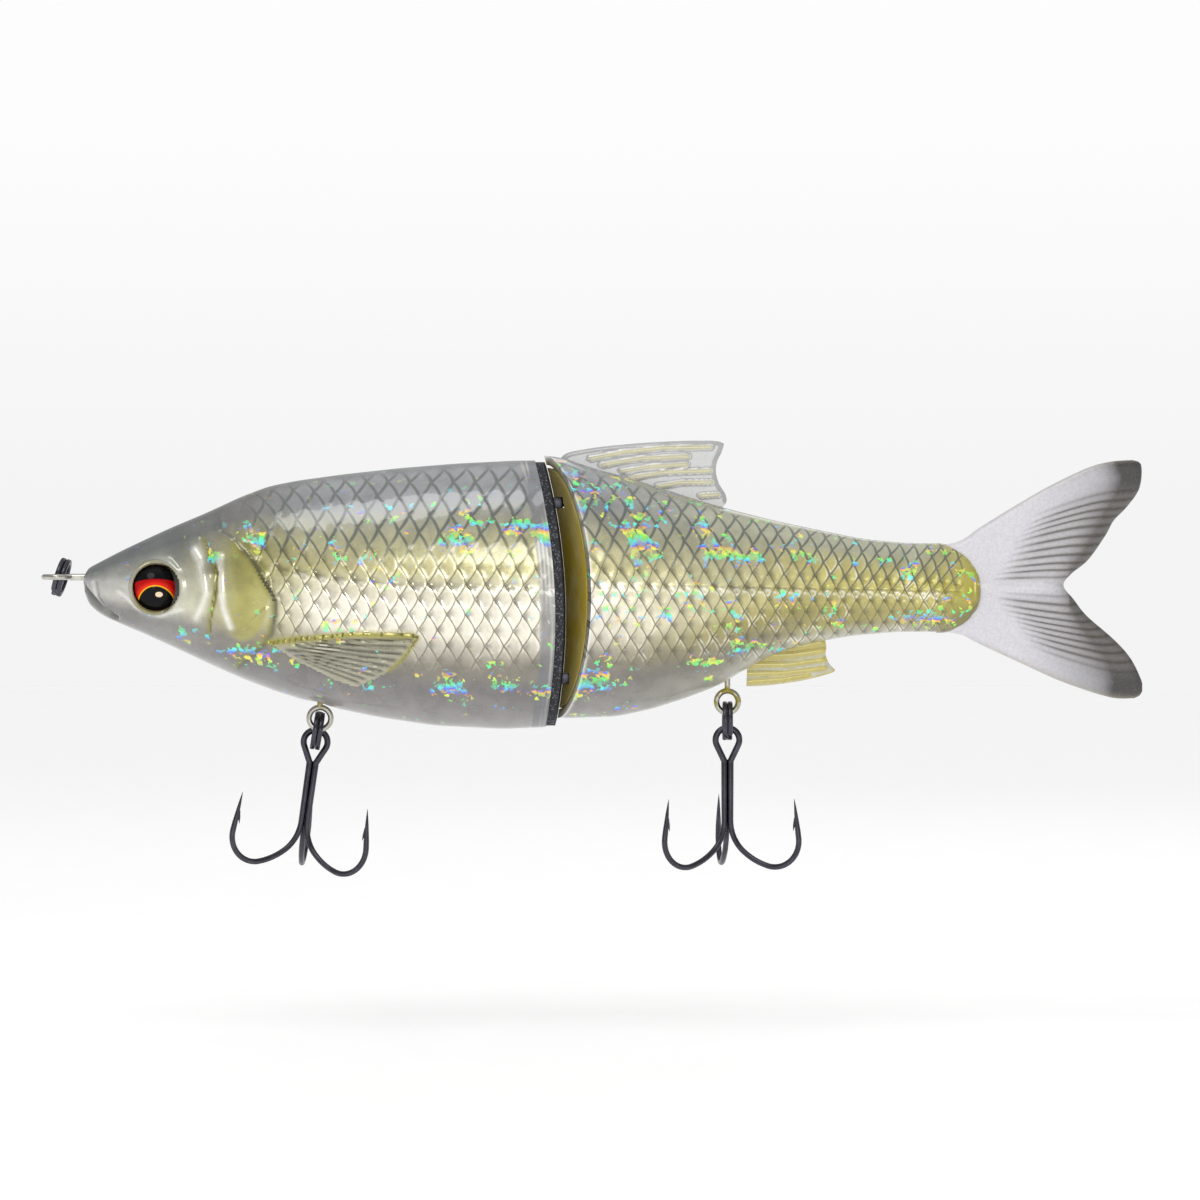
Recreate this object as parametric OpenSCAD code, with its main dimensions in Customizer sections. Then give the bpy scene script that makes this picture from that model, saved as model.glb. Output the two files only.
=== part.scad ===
// Two-section gliding swimbait with a soft tail and two treble hooks.
// Millimetres. The origin is the centre of the line tie's hole, the body runs
// along +X to the tail, +Z is up, and -Y is the fish's left side.

/* [Body] */
// Greatest width of the body
body_width = 24; // [22:0.5:26]
// Thickness of the clear shells
wall = 1.6; // [1.3:0.1:1.8]
// Thickness of the reflective film behind each shell
foil_t = 0.3; // [0.2:0.05:0.4]
// Radius of the eye
eye_r = 4; // [3.5:0.1:4.2]

/* [Body joint] */
// Distance of the hinge pin from the line tie
hinge_x = 92; // [91.5:0.1:93]
// Half angle of the wedge on the rear section
wedge_angle = 23; // [21:0.5:24]
// Thickness of the rubber pad between the sections
pad_t = 1.45; // [1:0.05:1.6]
// Free gap between the pad and the wedge
joint_gap = 0.3; // [0.3:0.05:0.6]
// Radius of the hinge pin
pin_r = 1; // [0.8:0.05:1.2]
// Height of the upper hinge eye
upper_eye_z = 13; // [10:0.5:14]
// Height of the lower hinge eye
lower_eye_z = -17.7; // [-18:0.1:-14]

/* [Tail] */
// Distance of the tail's bending line from the line tie
tail_bend_x = 163.5; // [163.3:0.1:165]
// Thickness of the tail at its bending line
tail_t = 2.9; // [2.4:0.1:3]
// Thickness of the tail at its rear edge
tail_edge_t = 1.2; // [0.8:0.1:1.6]

/* [Line tie and rings] */
// Wire radius of the line tie
tie_wire_r = 0.5; // [0.45:0.01:0.55]
// Mean radius of the line tie's eye
tie_eye_r = 2.25; // [2.2:0.05:2.4]
// Wire radius of the hook hangers
hanger_wire_r = 0.5; // [0.4:0.05:0.5]
// Mean radius of a hanger's eye
hanger_eye_r = 1.9; // [1.9:0.05:2.1]
// Outer radius of a split ring
ring_r = 3.4; // [3.3:0.05:3.5]
// Radial thickness of a split ring
ring_band = 0.9; // [0.8:0.05:0.9]
// Width of a split ring over its two coils
ring_width = 1.8; // [1.6:0.1:1.9]

/* [Treble hooks] */
// Wire radius of the hooks
hook_wire_r = 0.56; // [0.45:0.01:0.6]
// Mean radius of the hook's eye
hook_eye_r = 2.09; // [2.05:0.01:2.2]
// Length of the straight shank
hook_shank = 10.4; // [8:0.1:12]
// Length of the point beyond the bend
hook_point = 6.9; // [5.5:0.1:8]

/* [Hidden] */
$fn = 48;
left = -1;
right = 1;
slip = 0.02;          // a pressed or glued fit
clear = 0.1;          // a loose fit inside one section

// Side outline: [distance from the line tie, height].
head_back = [
    [4.6, 1.1], [7, 2.4], [11, 4.5], [15, 6.4], [20, 8.7], [26, 11.2], [32, 14],
    [37, 15.9], [42, 16.9], [50, 18], [60, 19.1], [70, 19.9], [80, 20.4], [92, 20.5]
];
head_belly = [
    [4.6, -3.6], [7, -6.2], [10, -7.7], [15, -9.8], [20, -12.1], [26, -14.9],
    [32, -17.6], [38, -19.9], [46, -22.4], [56, -24.5], [66, -26], [78, -26.6], [92, -26]
];
rear_back = [
    [80, 21.8], [88, 21], [94, 19], [100, 17.4], [106, 15.5], [112, 13.5], [118, 11.8],
    [126, 9.8], [134, 8.1], [141, 6.7], [148, 6], [154, 5.9]
];
rear_belly = [
    [80, -24.5], [90, -24.7], [98, -24.4], [104, -23.1], [110, -21.2], [116, -18.9],
    [120, -16.4], [126, -13.3], [132, -11.5], [139, -10.3], [147, -9.6], [154, -9.6]
];
// Half width as a share of the greatest half width.
width_share = [
    [4.6, 0.15], [7, 0.27], [11, 0.41], [15, 0.52], [20, 0.63], [26, 0.74], [32, 0.83],
    [40, 0.92], [50, 0.98], [60, 1], [70, 1], [80, 0.975], [90, 0.925], [98, 0.86],
    [106, 0.77], [114, 0.67], [122, 0.56], [130, 0.46], [138, 0.37], [146, 0.3],
    [154, 0.26], [161.7, 0.2]
];
// Height of the widest point of each section.
mid_line = [[4.6, -0.8], [20, -1.4], [50, 0.4], [88, 1.8], [120, 0.6], [154, -1.9]];
head_stations = [4.6, 7, 11, 15, 20, 26, 32, 38, 46, 56, 68, 80, 91];
head_cavity = [20, 26, 32, 38, 46, 56, 68, 80, 92];
rear_stations = [84, 90, 96, 102, 108, 114, 120, 127, 134, 141, 148, 154, 157, 159, 160.7, 161.6];
rear_cavity = [80, 90, 96, 102, 108, 114, 120, 127, 134, 141];
peduncle_x = 153.8;    // the rear section's round end is centred here
peduncle_r = 7.9;

face_r = 104;          // the head's rear face is part of a cylinder across the body
face_x = 87.3;
face_z = -7;
pad_rear_r = face_r + pad_t;
wedge_r = (pad_rear_r + joint_gap) / cos(wedge_angle);
bulkhead_t = 4;
wedge_end_x = 97;
hinge_eye_t = 1.5;
hinge_eye_r = 2.4;
hinge_shank_r = 0.7;

eye_x = 18.1;
eye_z = -1.85;
eye_turn = 14;         // the cheek faces this many degrees forward
iris_t = 0.6;
socket_depth = 1.3;
dome_h = 2.1;

fin_t = 1.8;
tie_anchor_x = 16.5;    // the round anchor on the line tie's shank
tie_anchor_r = 1.6;
tail_slot_x = 149;
tang_t = 2.7;
tail_pin_x = 155;
tail_pin_z = -1.9;
tail_pin_r = 0.8;

// The top of a hanger's shank and the round anchor on it, above its eye's centre.
hanger_top = 10;
hanger_anchor_z = 9.5;
hanger_anchor_r = 1.5;
front_hanger_x = 46;
front_hanger_z = -24.7;
rear_hanger_x = 117.3;
rear_hanger_z = -21.8;
ring_mid_r = ring_r - ring_band / 2;
// How far below its hanger's centre each ring's band sits, and how far below
// the ring's band its hook's eye is centred.
front_ring_drop = -0.45;
front_eye_drop = -0.6;
rear_ring_drop = 0.38;
rear_eye_drop = 0.4;
front_ring_tilt = 10;
front_ring_lean = 25;  // the front ring leans out to the right side
front_hook_tilt = 8;
rear_hook_turn = 5;     // degrees about its own shank
line_ring_tilt = 17;
line_ring_reach = 1.1; // from the eye's wire to the middle of the ring
line_ring_x = 0.3;      // the ring's centre is this far behind the tie's

bite = 0.03;           // how deep the three brazed shanks run into each other
step = 0.04;           // the bends are this much thinner, so they stand apart
shank_offset = (2 * hook_wire_r - bite) / sqrt(3);
leg_drop = 3.7;        // from the middle of the hook's eye to the shank
bend_radii = [7, 12, 4.6];
bend_turns = [0, 50, 75, 187];
thinning = 0.005;      // each bend is this much thinner than the last,
lap = 1;               // and starts this many degrees inside it

head_weight = [53, -17.6, 4.4, 28];      // where it starts, its height, radius and length
rear_weight = [98.5, -15, 3.6, 13];
cradle_t = 1.2;

head_pegs = [[27, 5], [62, 12], [75, -7]];
rear_pegs = [[104, 9], [126, -1], [139, 1]];
peg_r = 1.2;
boss_r = 2.3;

// ---- the body's outline ----------------------------------------------------

function half_width(x) = body_width / 2 * lookup(x, width_share);
function round_end(x) = sqrt(max(0, pow(peduncle_r, 2) - pow(x - peduncle_x, 2)));
function back(x, rear) = !rear ? lookup(x, head_back)
    : x <= peduncle_x ? lookup(x, rear_back) : lookup(x, mid_line) + round_end(x);
function belly(x, rear) = !rear ? lookup(x, head_belly)
    : x <= peduncle_x ? lookup(x, rear_belly) : lookup(x, mid_line) - round_end(x);
function bow(v, power) = sign(v) * pow(abs(v), power);
// A section is two half ellipses, a little squarer above and at the tail end.
function section(x, rear, inset = 0) = let (
        mid = lookup(x, mid_line),
        up = back(x, rear) - inset - mid,
        down = mid - belly(x, rear) - inset,
        w = half_width(x) - inset,
        above = lookup(x, [[26, 1], [60, 0.9], [115, 0.9], [150, 0.75]]),
        below = lookup(x, [[115, 1], [150, 0.75]]))
    [for (a = [0 : 15 : 345]) let (power = a < 180 ? above : below)
        [w * bow(cos(a), power), mid + (a < 180 ? up : down) * bow(sin(a), power)]];

module slice(x, rear, inset)
    translate([x, 0, 0]) rotate([90, 0, 90]) linear_extrude(0.01) polygon(section(x, rear, inset));

// The body's skin between the stations, moved in by the inset.
module loft(stations, rear, inset = 0)
    for (i = [0 : len(stations) - 2])
        hull() {
            slice(stations[i], rear, inset);
            slice(stations[i + 1], rear, inset);
        }

// Everything on one side of the middle plane.
module half_space(side)
    translate([-20, side == left ? -30 : 0, -60]) cube([240, 30, 120]);

// A flat outline in the middle plane, given a thickness across the body.
module plate(t) rotate([90, 0, 0]) linear_extrude(t, center = true) children();

// A rod across the body.
module cross_rod(x, z, r, from, to)
    translate([x, from, z]) rotate([-90, 0, 0]) cylinder(r = r, h = to - from);

// ---- the joint between the sections -----------------------------------------

module face_cylinder(r) cross_rod(face_x - face_r, face_z, r, -20, 20, $fn = 360);

// What lies ahead of the wedge: two big cylinders that lean back to either side.
module ahead_of_wedge()
    for (side = [left, right])
        translate([face_x + pad_t + joint_gap, 0, face_z])
            rotate([0, 0, -side * wedge_angle]) translate([-wedge_r, 0, 0])
                rotate([90, 0, 0]) cylinder(r = wedge_r, h = 60, center = true, $fn = 256);

module prism(x, rear, inset, from, to)
    translate([from, 0, 0]) rotate([90, 0, 90]) linear_extrude(to - from)
        polygon(section(x, rear, inset));

function hinge_anchor_x(z) = face_x - pow(z - face_z, 2) / (2 * face_r) - bulkhead_t - 1;

module head_bulkhead()
    color("khaki") difference() {
        intersection() {
            prism(86, false, wall + 2 * clear, 76, 90);
            difference() {
                face_cylinder(face_r - slip);
                face_cylinder(face_r - bulkhead_t);
            }
        }
        for (z = [upper_eye_z, lower_eye_z])
            translate([70, 0, z]) rotate([0, 90, 0]) cylinder(r = hinge_shank_r + slip, h = 20);
    }

module joint_pad()
    color("dimgray") difference() {
        intersection() {
            prism(87, false, 0.3, 80, 92);
            difference() {
                face_cylinder(pad_rear_r);
                face_cylinder(face_r);
            }
        }
        for (z = [upper_eye_z, lower_eye_z])
            translate([70, 0, z]) rotate([0, 90, 0]) cylinder(r = hinge_shank_r + clear, h = 30);
    }

module hinge_eye(z)
    color("black") difference() {
        union() {
            translate([hinge_x, 0, z]) cylinder(r = hinge_eye_r, h = hinge_eye_t, center = true);
            translate([hinge_anchor_x(z), 0, z]) rotate([0, 90, 0])
                cylinder(r = hinge_shank_r, h = hinge_x - pin_r - 0.5 - hinge_anchor_x(z));
            translate([hinge_anchor_x(z) - 0.4, 0, z]) rotate([0, 90, 0])
                cylinder(r = 1.6, h = 0.9);
        }
        translate([hinge_x, 0, z]) cylinder(r = pin_r + 0.05, h = 4, center = true);
    }

module hinge_slot(z)
    translate([hinge_x, 0, z - hinge_eye_t / 2 - 0.2]) {
        cylinder(r = hinge_eye_r + 0.4, h = hinge_eye_t + 0.4);
        linear_extrude(hinge_eye_t + 0.4) polygon([[0.5, 0], [-9, 8.5], [-9, -8.5]]);
    }

module rear_bulkhead()
    color("goldenrod") difference() {
        intersection() {
            loft(rear_cavity, true, wall + 2 * clear);
            translate([80, -20, -40]) cube([wedge_end_x - 80, 40, 80]);
        }
        ahead_of_wedge();
        translate([hinge_x, 0, -40]) cylinder(r = pin_r + slip, h = 80);
        hinge_slot(upper_eye_z);
        hinge_slot(lower_eye_z);
    }

module hinge_pin()
    color("silver") translate([hinge_x, 0, -21.5]) cylinder(r = pin_r, h = 37);

// ---- shells ------------------------------------------------------------------

module bosses(places, side)
    for (p = places)
        cross_rod(p[0], p[1], boss_r, side == left ? -20 : 0, side == left ? 0 : 20);

module peg_holes(places)
    for (p = places)
        cross_rod(p[0], p[1], peg_r + clear / 2, -1, 3.3);

module pegs(places)
    for (p = places)
        cross_rod(p[0], p[1], peg_r, -1.5, 3);

// A saddle each side of the weight's ends.
module cradle(weight)
    for (x = [weight[0] + 1.5, weight[0] + weight[3] - 1.5 - cradle_t])
        difference() {
            translate([x, -weight[2] - 0.6, weight[1] - 12])
                cube([cradle_t, 2 * weight[2] + 1.2, 12]);
            translate([x - 1, 0, weight[1]]) rotate([0, 90, 0])
                cylinder(r = weight[2] + clear, h = cradle_t + 2);
        }

// The block that grips a hanger's shank, the pocket in it, and the notch in the
// belly round the hanger's eye.
module hanger_block(x, z) translate([x - 2.6, -2.6, z]) cube([5.2, 5.2, 11.5]);
module hanger_pocket(x, z) {
    translate([x, 0, z - 1]) cylinder(r = hanger_wire_r + slip, h = hanger_top + 1);
    cross_rod(x, z + hanger_anchor_z, hanger_anchor_r + slip, -0.6 - slip, 0.6 + slip);
    cross_rod(x, z, hanger_eye_r + 2 * hanger_wire_r, -hanger_wire_r - 0.3, hanger_wire_r + 0.3);
}

// The eye's own frame: +Z points out of the cheek.
module at_eye(side)
    translate([eye_x, side * half_width(eye_x) * 0.985, eye_z])
        rotate([0, 0, -side * eye_turn]) rotate([-side * 90, 0, 0]) children();

module head_shell(side)
    color("lightgray", 0.6) {
        difference() {
            intersection() {
                difference() {
                    loft(head_stations, false);
                    difference() {
                        loft(head_cavity, false, wall);
                        at_eye(side) translate([0, 0, -4.5]) cylinder(r = eye_r + 1.2, h = 6);
                        bosses(head_pegs, side);
                        cradle(head_weight);
                        hanger_block(front_hanger_x, front_hanger_z);
                    }
                }
                half_space(side);
                face_cylinder(face_r);
            }
            at_eye(side) translate([0, 0, -socket_depth]) cylinder(r = eye_r + clear, h = 6);
            line_tie_pocket();
            hanger_pocket(front_hanger_x, front_hanger_z);
            if (side == right) peg_holes(head_pegs);
        }
        if (side == left) pegs(head_pegs);
    }

module rear_shell(side)
    color("lightgray", 0.6) {
        difference() {
            intersection() {
                difference() {
                    loft(rear_stations, true);
                    difference() {
                        loft(rear_cavity, true, wall);
                        bosses(rear_pegs, side);
                        cradle(rear_weight);
                        hanger_block(rear_hanger_x, rear_hanger_z);
                    }
                }
                half_space(side);
            }
            ahead_of_wedge();
            plate(fin_t + 2 * slip) offset(delta = slip) dorsal_outline();
            plate(fin_t + 2 * slip) offset(delta = slip) anal_outline();
            translate([tail_slot_x, -tang_t / 2 - slip, -20]) cube([20, tang_t + 2 * slip, 40]);
            cross_rod(tail_pin_x, tail_pin_z, tail_pin_r + slip, -2.5, 2.5);
            hanger_pocket(rear_hanger_x, rear_hanger_z);
            if (side == right) peg_holes(rear_pegs);
        }
        if (side == left) pegs(rear_pegs);
    }

// ---- reflective film -----------------------------------------------------------

// Film against the inside of a shell, from one distance along the body to
// another. Its edges keep the given distances from the belly and the back.
module foil(side, stations, rear, holes, from, to, low, high) {
    reach = [for (x = concat([from], stations, [to])) if (x >= from && x <= to) x];
    color("wheat") difference() {
        intersection() {
            loft(stations, rear, wall + clear);
            half_space(side);
            plate(40) polygon(concat(
                [for (x = reach) [x, back(x, rear) - high]],
                [for (i = [len(reach) - 1 : -1 : 0]) [reach[i], belly(reach[i], rear) + low]]));
        }
        loft(stations, rear, wall + clear + foil_t);
        for (p = holes) cross_rod(p[0], p[1], boss_r + 0.2, -20, 20);
    }
}

module head_foil(side) foil(side, head_cavity, false, head_pegs, 26, 80, 7, 3);
module rear_foil(side) foil(side, rear_cavity, true, rear_pegs, wedge_end_x + 0.5, 139.5, 6.5, 6);

// ---- eyes, weights and wire fittings ----------------------------------------------

module eye_iris(side)
    color("firebrick") at_eye(side) translate([0, 0, -socket_depth]) cylinder(r = eye_r, h = iris_t);

module eye_lens(side) {
    dome_r = (pow(eye_r, 2) + pow(dome_h, 2)) / (2 * dome_h);
    color("white", 0.4) at_eye(side) translate([0, 0, -socket_depth + iris_t])
        intersection() {
            translate([0, 0, dome_h - dome_r]) sphere(r = dome_r);
            cylinder(r = eye_r - slip, h = dome_h + 1);
        }
}

module weight(size) {
    r = size[2];
    l = size[3];
    color("gray") translate([size[0], 0, size[1]]) rotate([0, 90, 0])
        rotate_extrude() polygon([[0, 0], [r - 0.8, 0], [r, 0.8], [r, l - 0.8], [r - 0.8, l], [0, l]]);
}

// A closed wire eye lying in the XY plane.
module wire_eye(r, wire_r) rotate_extrude() translate([r, 0]) circle(r = wire_r);

module line_tie()
    color("silver") {
        wire_eye(tie_eye_r, tie_wire_r);
        translate([tie_eye_r, 0, 0]) rotate([0, 90, 0]) cylinder(r = tie_wire_r + 0.1, h = 14);
        cross_rod(tie_anchor_x, 0, tie_anchor_r, -0.7, 0.7);
    }

module line_tie_pocket() {
    translate([1, 0, 0]) rotate([0, 90, 0]) cylinder(r = tie_wire_r + 0.1 + slip, h = 16);
    cross_rod(tie_anchor_x, 0, tie_anchor_r + slip, -0.7 - slip, 0.7 + slip);
}

module hanger(x, z)
    color("silver") translate([x, 0, z]) {
        rotate([90, 0, 0]) wire_eye(hanger_eye_r, hanger_wire_r);
        translate([0, 0, hanger_eye_r]) cylinder(r = hanger_wire_r, h = hanger_top - hanger_eye_r);
        cross_rod(0, hanger_anchor_z, hanger_anchor_r, -0.6, 0.6);
    }

// ---- fins and tail -----------------------------------------------------------------

module dorsal_outline()
    polygon([
        [87.5, 19.9], [89, 21.6], [92.5, 22.4], [97, 23], [104.3, 23.6], [111.5, 23.9], [115.6, 23.8],
        [116.7, 23.3], [116.3, 21.9], [115.5, 20.2], [115.3, 18.4], [115.8, 16.4], [116.9, 14.6],
        [117.2, 13.5], [116.4, 12.2], [113, 10.6], [98, 15.2], [97.5, 17.1]
    ]);

module anal_outline()
    polygon([
        [120.6, -19.1], [124, -18.95], [129, -18.35], [132.6, -17.6], [135.7, -16.7], [136.1, -16.2],
        [135.1, -15.1], [134.5, -13.6], [134.6, -12], [134, -9.2], [127, -10.5], [120.8, -13.6]
    ]);

module dorsal_fin() color("whitesmoke") plate(fin_t) dorsal_outline();
module anal_fin() color("khaki") plate(fin_t) anal_outline();

module tail_outline()
    polygon([
        [149.2, 5.6], [157, 6], [161.5, 8.7], [166, 11.5], [173, 15.6], [180, 19], [184.2, 20.2],
        [188.2, 20.5], [189.7, 19.6], [189.4, 15.6], [187.2, 12.3], [184.9, 9.9], [183.4, 7.2],
        [180.4, 3], [177.4, 0.5], [176.1, -1.5], [177.9, -3.9], [180.2, -6.8], [184.8, -10.8],
        [187.9, -14.3], [189.9, -18.6], [189.6, -20.5], [188.4, -21.2], [184.1, -21], [176.1, -18.4],
        [169.8, -15.6], [161.4, -11.7], [157.3, -9.9], [149.2, -9.3]
    ]);

module bend_line_cylinder(r) translate([tail_bend_x, 0, -30]) cylinder(r = r, h = 60);

module tail_root()
    color("whitesmoke") difference() {
        plate(tang_t) intersection() {
            tail_outline();
            translate([140, -30]) square([tail_bend_x - 140, 60]);
        }
        bend_line_cylinder(tail_t / 2 + 0.15);
        cross_rod(tail_pin_x, tail_pin_z, tail_pin_r + slip, -3, 3);
    }

module tail_fin()
    color("whitesmoke") intersection() {
        plate(8) tail_outline();
        union() {
            translate([0, 0, -30]) linear_extrude(60) polygon([
                [tail_bend_x, tail_t / 2], [192, tail_edge_t / 2],
                [192, -tail_edge_t / 2], [tail_bend_x, -tail_t / 2]
            ]);
            bend_line_cylinder(tail_t / 2 - slip);
        }
    }

module tail_pin()
    color("silver") cross_rod(tail_pin_x, tail_pin_z, tail_pin_r, -2.4, 2.4);

// ---- split rings and treble hooks -----------------------------------------------------

// Two flattened coils side by side. The hole runs along Z.
module split_ring() {
    w = ring_width / 2;
    o = ring_r;
    i = ring_r - ring_band;
    c = 0.2;
    rotate_extrude() polygon([
        [i + c, -w], [i, -w + c], [i, -c / 2], [i + c / 2, 0], [i, c / 2], [i, w - c], [i + c, w],
        [o - c, w], [o, w - c], [o, c / 2], [o - c / 2, 0], [o, -c / 2], [o, -w + c], [o - c, -w]
    ]);
}

function below(p, d, tilt, lean = 0) =
    p - d * [sin(tilt), -cos(tilt) * sin(lean), cos(tilt) * cos(lean)];
front_band = [front_hanger_x, 0, front_hanger_z - front_ring_drop];
front_ring_at = below(front_band, ring_mid_r, front_ring_tilt, front_ring_lean);
front_hook_pivot = below(front_ring_at, ring_mid_r, front_ring_tilt, front_ring_lean);
rear_band = [rear_hanger_x, 0, rear_hanger_z - rear_ring_drop];
rear_ring_at = below(rear_band, ring_mid_r, 0);
rear_hook_pivot = below(rear_ring_at, ring_mid_r, 0);

module line_ring()
    color("black") translate([line_ring_x, tie_eye_r + line_ring_reach, 0])
        rotate([0, 90 + line_ring_tilt, 0]) split_ring();

module hook_ring(at, tilt, lean)
    color("black") translate(at) rotate([lean, 0, 0]) rotate([0, 90 + tilt, 0]) split_ring();

// Where the wire is after each bend, and the centre of each bend.
function heading(a) = [cos(a), sin(a)];
function bend_start(i) = i == 0 ? [shank_offset, -leg_drop - hook_shank]
    : bend_centre(i - 1) - bend_radii[i - 1] * heading(bend_turns[i]);
function bend_centre(i) = bend_start(i) + bend_radii[i] * heading(bend_turns[i]);

module prong() {
    tip = bend_start(3);
    bend_r = hook_wire_r - step;
    tip_r = bend_r - 3 * thinning;
    translate([shank_offset, 0, -leg_drop - hook_shank]) cylinder(r = hook_wire_r, h = hook_shank);
    for (i = [0 : 2])
        translate([bend_centre(i)[0], 0, bend_centre(i)[1]]) rotate([90, 0, 0])
            rotate([0, 0, 180 + bend_turns[i] - lap])
                rotate_extrude(angle = bend_turns[i + 1] - bend_turns[i] + lap)
                    translate([bend_radii[i], 0]) circle(r = bend_r - i * thinning);
    translate([tip[0], 0, tip[1]]) rotate([0, 180 - bend_turns[3], 0]) {
        translate([0, 0, -0.1]) cylinder(r = tip_r, h = 1.3);
        translate([0, 0, 1.2]) cylinder(r1 = tip_r, r2 = 0.06, h = hook_point - 1.2);
        plate(0.4) polygon([[-0.1, 3.4], [-1, 0.9], [-0.1, 1.4]]);
    }
}

// Three hooks brazed together, hung from the middle of their eye. Two prongs
// come from the wire of the eye and the third stands behind them.
module treble() {
    foot = [shank_offset * cos(30), -leg_drop];
    lean = asin(hook_eye_r / norm(foot)) - atan(foot[0] / leg_drop);
    leg = [hook_eye_r * cos(lean), -hook_eye_r * sin(lean)];
    color("black") {
        rotate([90, 0, 0]) rotate([0, 0, -lean - lap])
            rotate_extrude(angle = 180 + 2 * (lean + lap)) translate([hook_eye_r, 0])
                circle(r = hook_wire_r - 2 * thinning);
        for (side = [left, right]) {
            translate([side * leg[0], 0, leg[1]]) rotate([0, side * (180 + lean), 0])
                cylinder(r = hook_wire_r, h = norm(leg - foot));
            translate([side * foot[0], 0, foot[1]]) sphere(r = hook_wire_r + 0.02);
        }
        translate([0, shank_offset * sin(30), 0])
            for (turn = [90, 210, 330]) rotate([0, 0, turn]) prong();
    }
}

module front_treble()
    translate(below(front_hook_pivot, front_eye_drop, front_hook_tilt))
        rotate([0, front_hook_tilt, 0]) treble();

module rear_treble()
    translate(below(rear_hook_pivot, rear_eye_drop, 0)) rotate([0, 0, rear_hook_turn]) treble();

// ---- nodes -------------------------------------------------------------------------------

head_shell(left);  // head_shell_left
head_shell(right);  // head_shell_right
head_foil(left);  // head_foil_left
head_foil(right);  // head_foil_right
eye_iris(left);  // eye_iris_left
eye_iris(right);  // eye_iris_right
eye_lens(left);  // eye_lens_left
eye_lens(right);  // eye_lens_right
head_bulkhead();
joint_pad();
hinge_eye(upper_eye_z);  // upper_hinge_eye
hinge_eye(lower_eye_z);  // lower_hinge_eye
line_tie();
hanger(front_hanger_x, front_hanger_z);  // front_hanger
weight(head_weight);
rear_shell(left);  // rear_shell_left
rear_shell(right);  // rear_shell_right
rear_foil(left);  // rear_foil_left
rear_foil(right);  // rear_foil_right
rear_bulkhead();
hinge_pin();
hanger(rear_hanger_x, rear_hanger_z);  // rear_hanger
weight(rear_weight);
dorsal_fin();
anal_fin();
tail_pin();
tail_root();
tail_fin();
line_ring();
hook_ring(front_ring_at, front_ring_tilt, front_ring_lean);  // front_ring
front_treble();
hook_ring(rear_ring_at, 0, 0);  // rear_ring
rear_treble();
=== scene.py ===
import math

import bmesh
import bpy
import numpy as np
from mathutils import Matrix, Vector


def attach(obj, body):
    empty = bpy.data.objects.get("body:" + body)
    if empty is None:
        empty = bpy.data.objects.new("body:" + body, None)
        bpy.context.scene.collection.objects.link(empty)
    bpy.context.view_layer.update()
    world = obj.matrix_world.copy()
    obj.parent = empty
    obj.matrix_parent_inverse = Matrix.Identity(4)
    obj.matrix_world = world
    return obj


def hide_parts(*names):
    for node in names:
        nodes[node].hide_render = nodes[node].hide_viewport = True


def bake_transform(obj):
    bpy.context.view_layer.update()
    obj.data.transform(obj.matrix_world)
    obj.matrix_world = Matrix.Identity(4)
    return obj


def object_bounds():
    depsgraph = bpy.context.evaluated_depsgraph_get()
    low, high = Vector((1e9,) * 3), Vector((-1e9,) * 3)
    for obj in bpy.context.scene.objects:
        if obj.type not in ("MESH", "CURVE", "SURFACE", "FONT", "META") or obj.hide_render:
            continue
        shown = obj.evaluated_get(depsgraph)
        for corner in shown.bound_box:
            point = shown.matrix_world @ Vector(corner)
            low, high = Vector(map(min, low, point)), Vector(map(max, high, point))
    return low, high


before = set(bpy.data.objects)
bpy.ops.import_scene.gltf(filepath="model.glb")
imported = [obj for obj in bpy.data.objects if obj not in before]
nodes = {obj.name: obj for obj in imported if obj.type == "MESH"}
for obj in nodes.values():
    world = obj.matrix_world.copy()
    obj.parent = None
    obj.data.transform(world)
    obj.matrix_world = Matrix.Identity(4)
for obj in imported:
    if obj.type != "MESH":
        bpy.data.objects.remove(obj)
cad_low, cad_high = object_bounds()

# ---- Body shells ---------------------------------------------------------------
# The lure's skin is four thin mouldings of clear plastic, a left and a right half
# for each section. Scales, gill cover, mouth and side fin are cut into the mould;
# film behind the plastic and thin airbrushed paint give the colours, with painted shade and painted
# highlights laid into them.
mm = 0.001
left, right = -1, 1
wall = 1.6
body_end_x = 161.7
scale_width, scale_row = 3.27, 2.7

back_points = {
    False: [(4.6, 1.1), (7, 2.4), (11, 4.5), (15, 6.4), (20, 8.7), (26, 11.2), (32, 14), (37, 15.9),
            (42, 16.9), (50, 18), (60, 19.1), (70, 19.9), (80, 20.4), (92, 20.5)],
    True: [(80, 21.8), (88, 21), (94, 19), (100, 17.4), (106, 15.5), (112, 13.5), (118, 11.8),
           (126, 9.8), (134, 8.1), (141, 6.7), (148, 6), (154, 5.9)],
}
belly_points = {
    False: [(4.6, -3.6), (7, -6.2), (10, -7.7), (15, -9.8), (20, -12.1), (26, -14.9), (32, -17.6),
            (38, -19.9), (46, -22.4), (56, -24.5), (66, -26), (78, -26.6), (92, -26)],
    True: [(80, -24.5), (90, -24.7), (98, -24.4), (104, -23.1), (110, -21.2), (116, -18.9),
           (120, -16.4), (126, -13.3), (132, -11.5), (139, -10.3), (147, -9.6), (154, -9.6)],
}
width_points = [(4.6, 1.8), (7, 3.24), (11, 4.92), (15, 6.24), (20, 7.56), (26, 8.88), (32, 9.96),
                (40, 11.04), (50, 11.76), (60, 12), (70, 12), (80, 11.7), (90, 11.1), (98, 10.32),
                (106, 9.24), (114, 8.04), (122, 6.72), (130, 5.52), (138, 4.44), (146, 3.6),
                (154, 3.12), (body_end_x, 2.4)]
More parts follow.
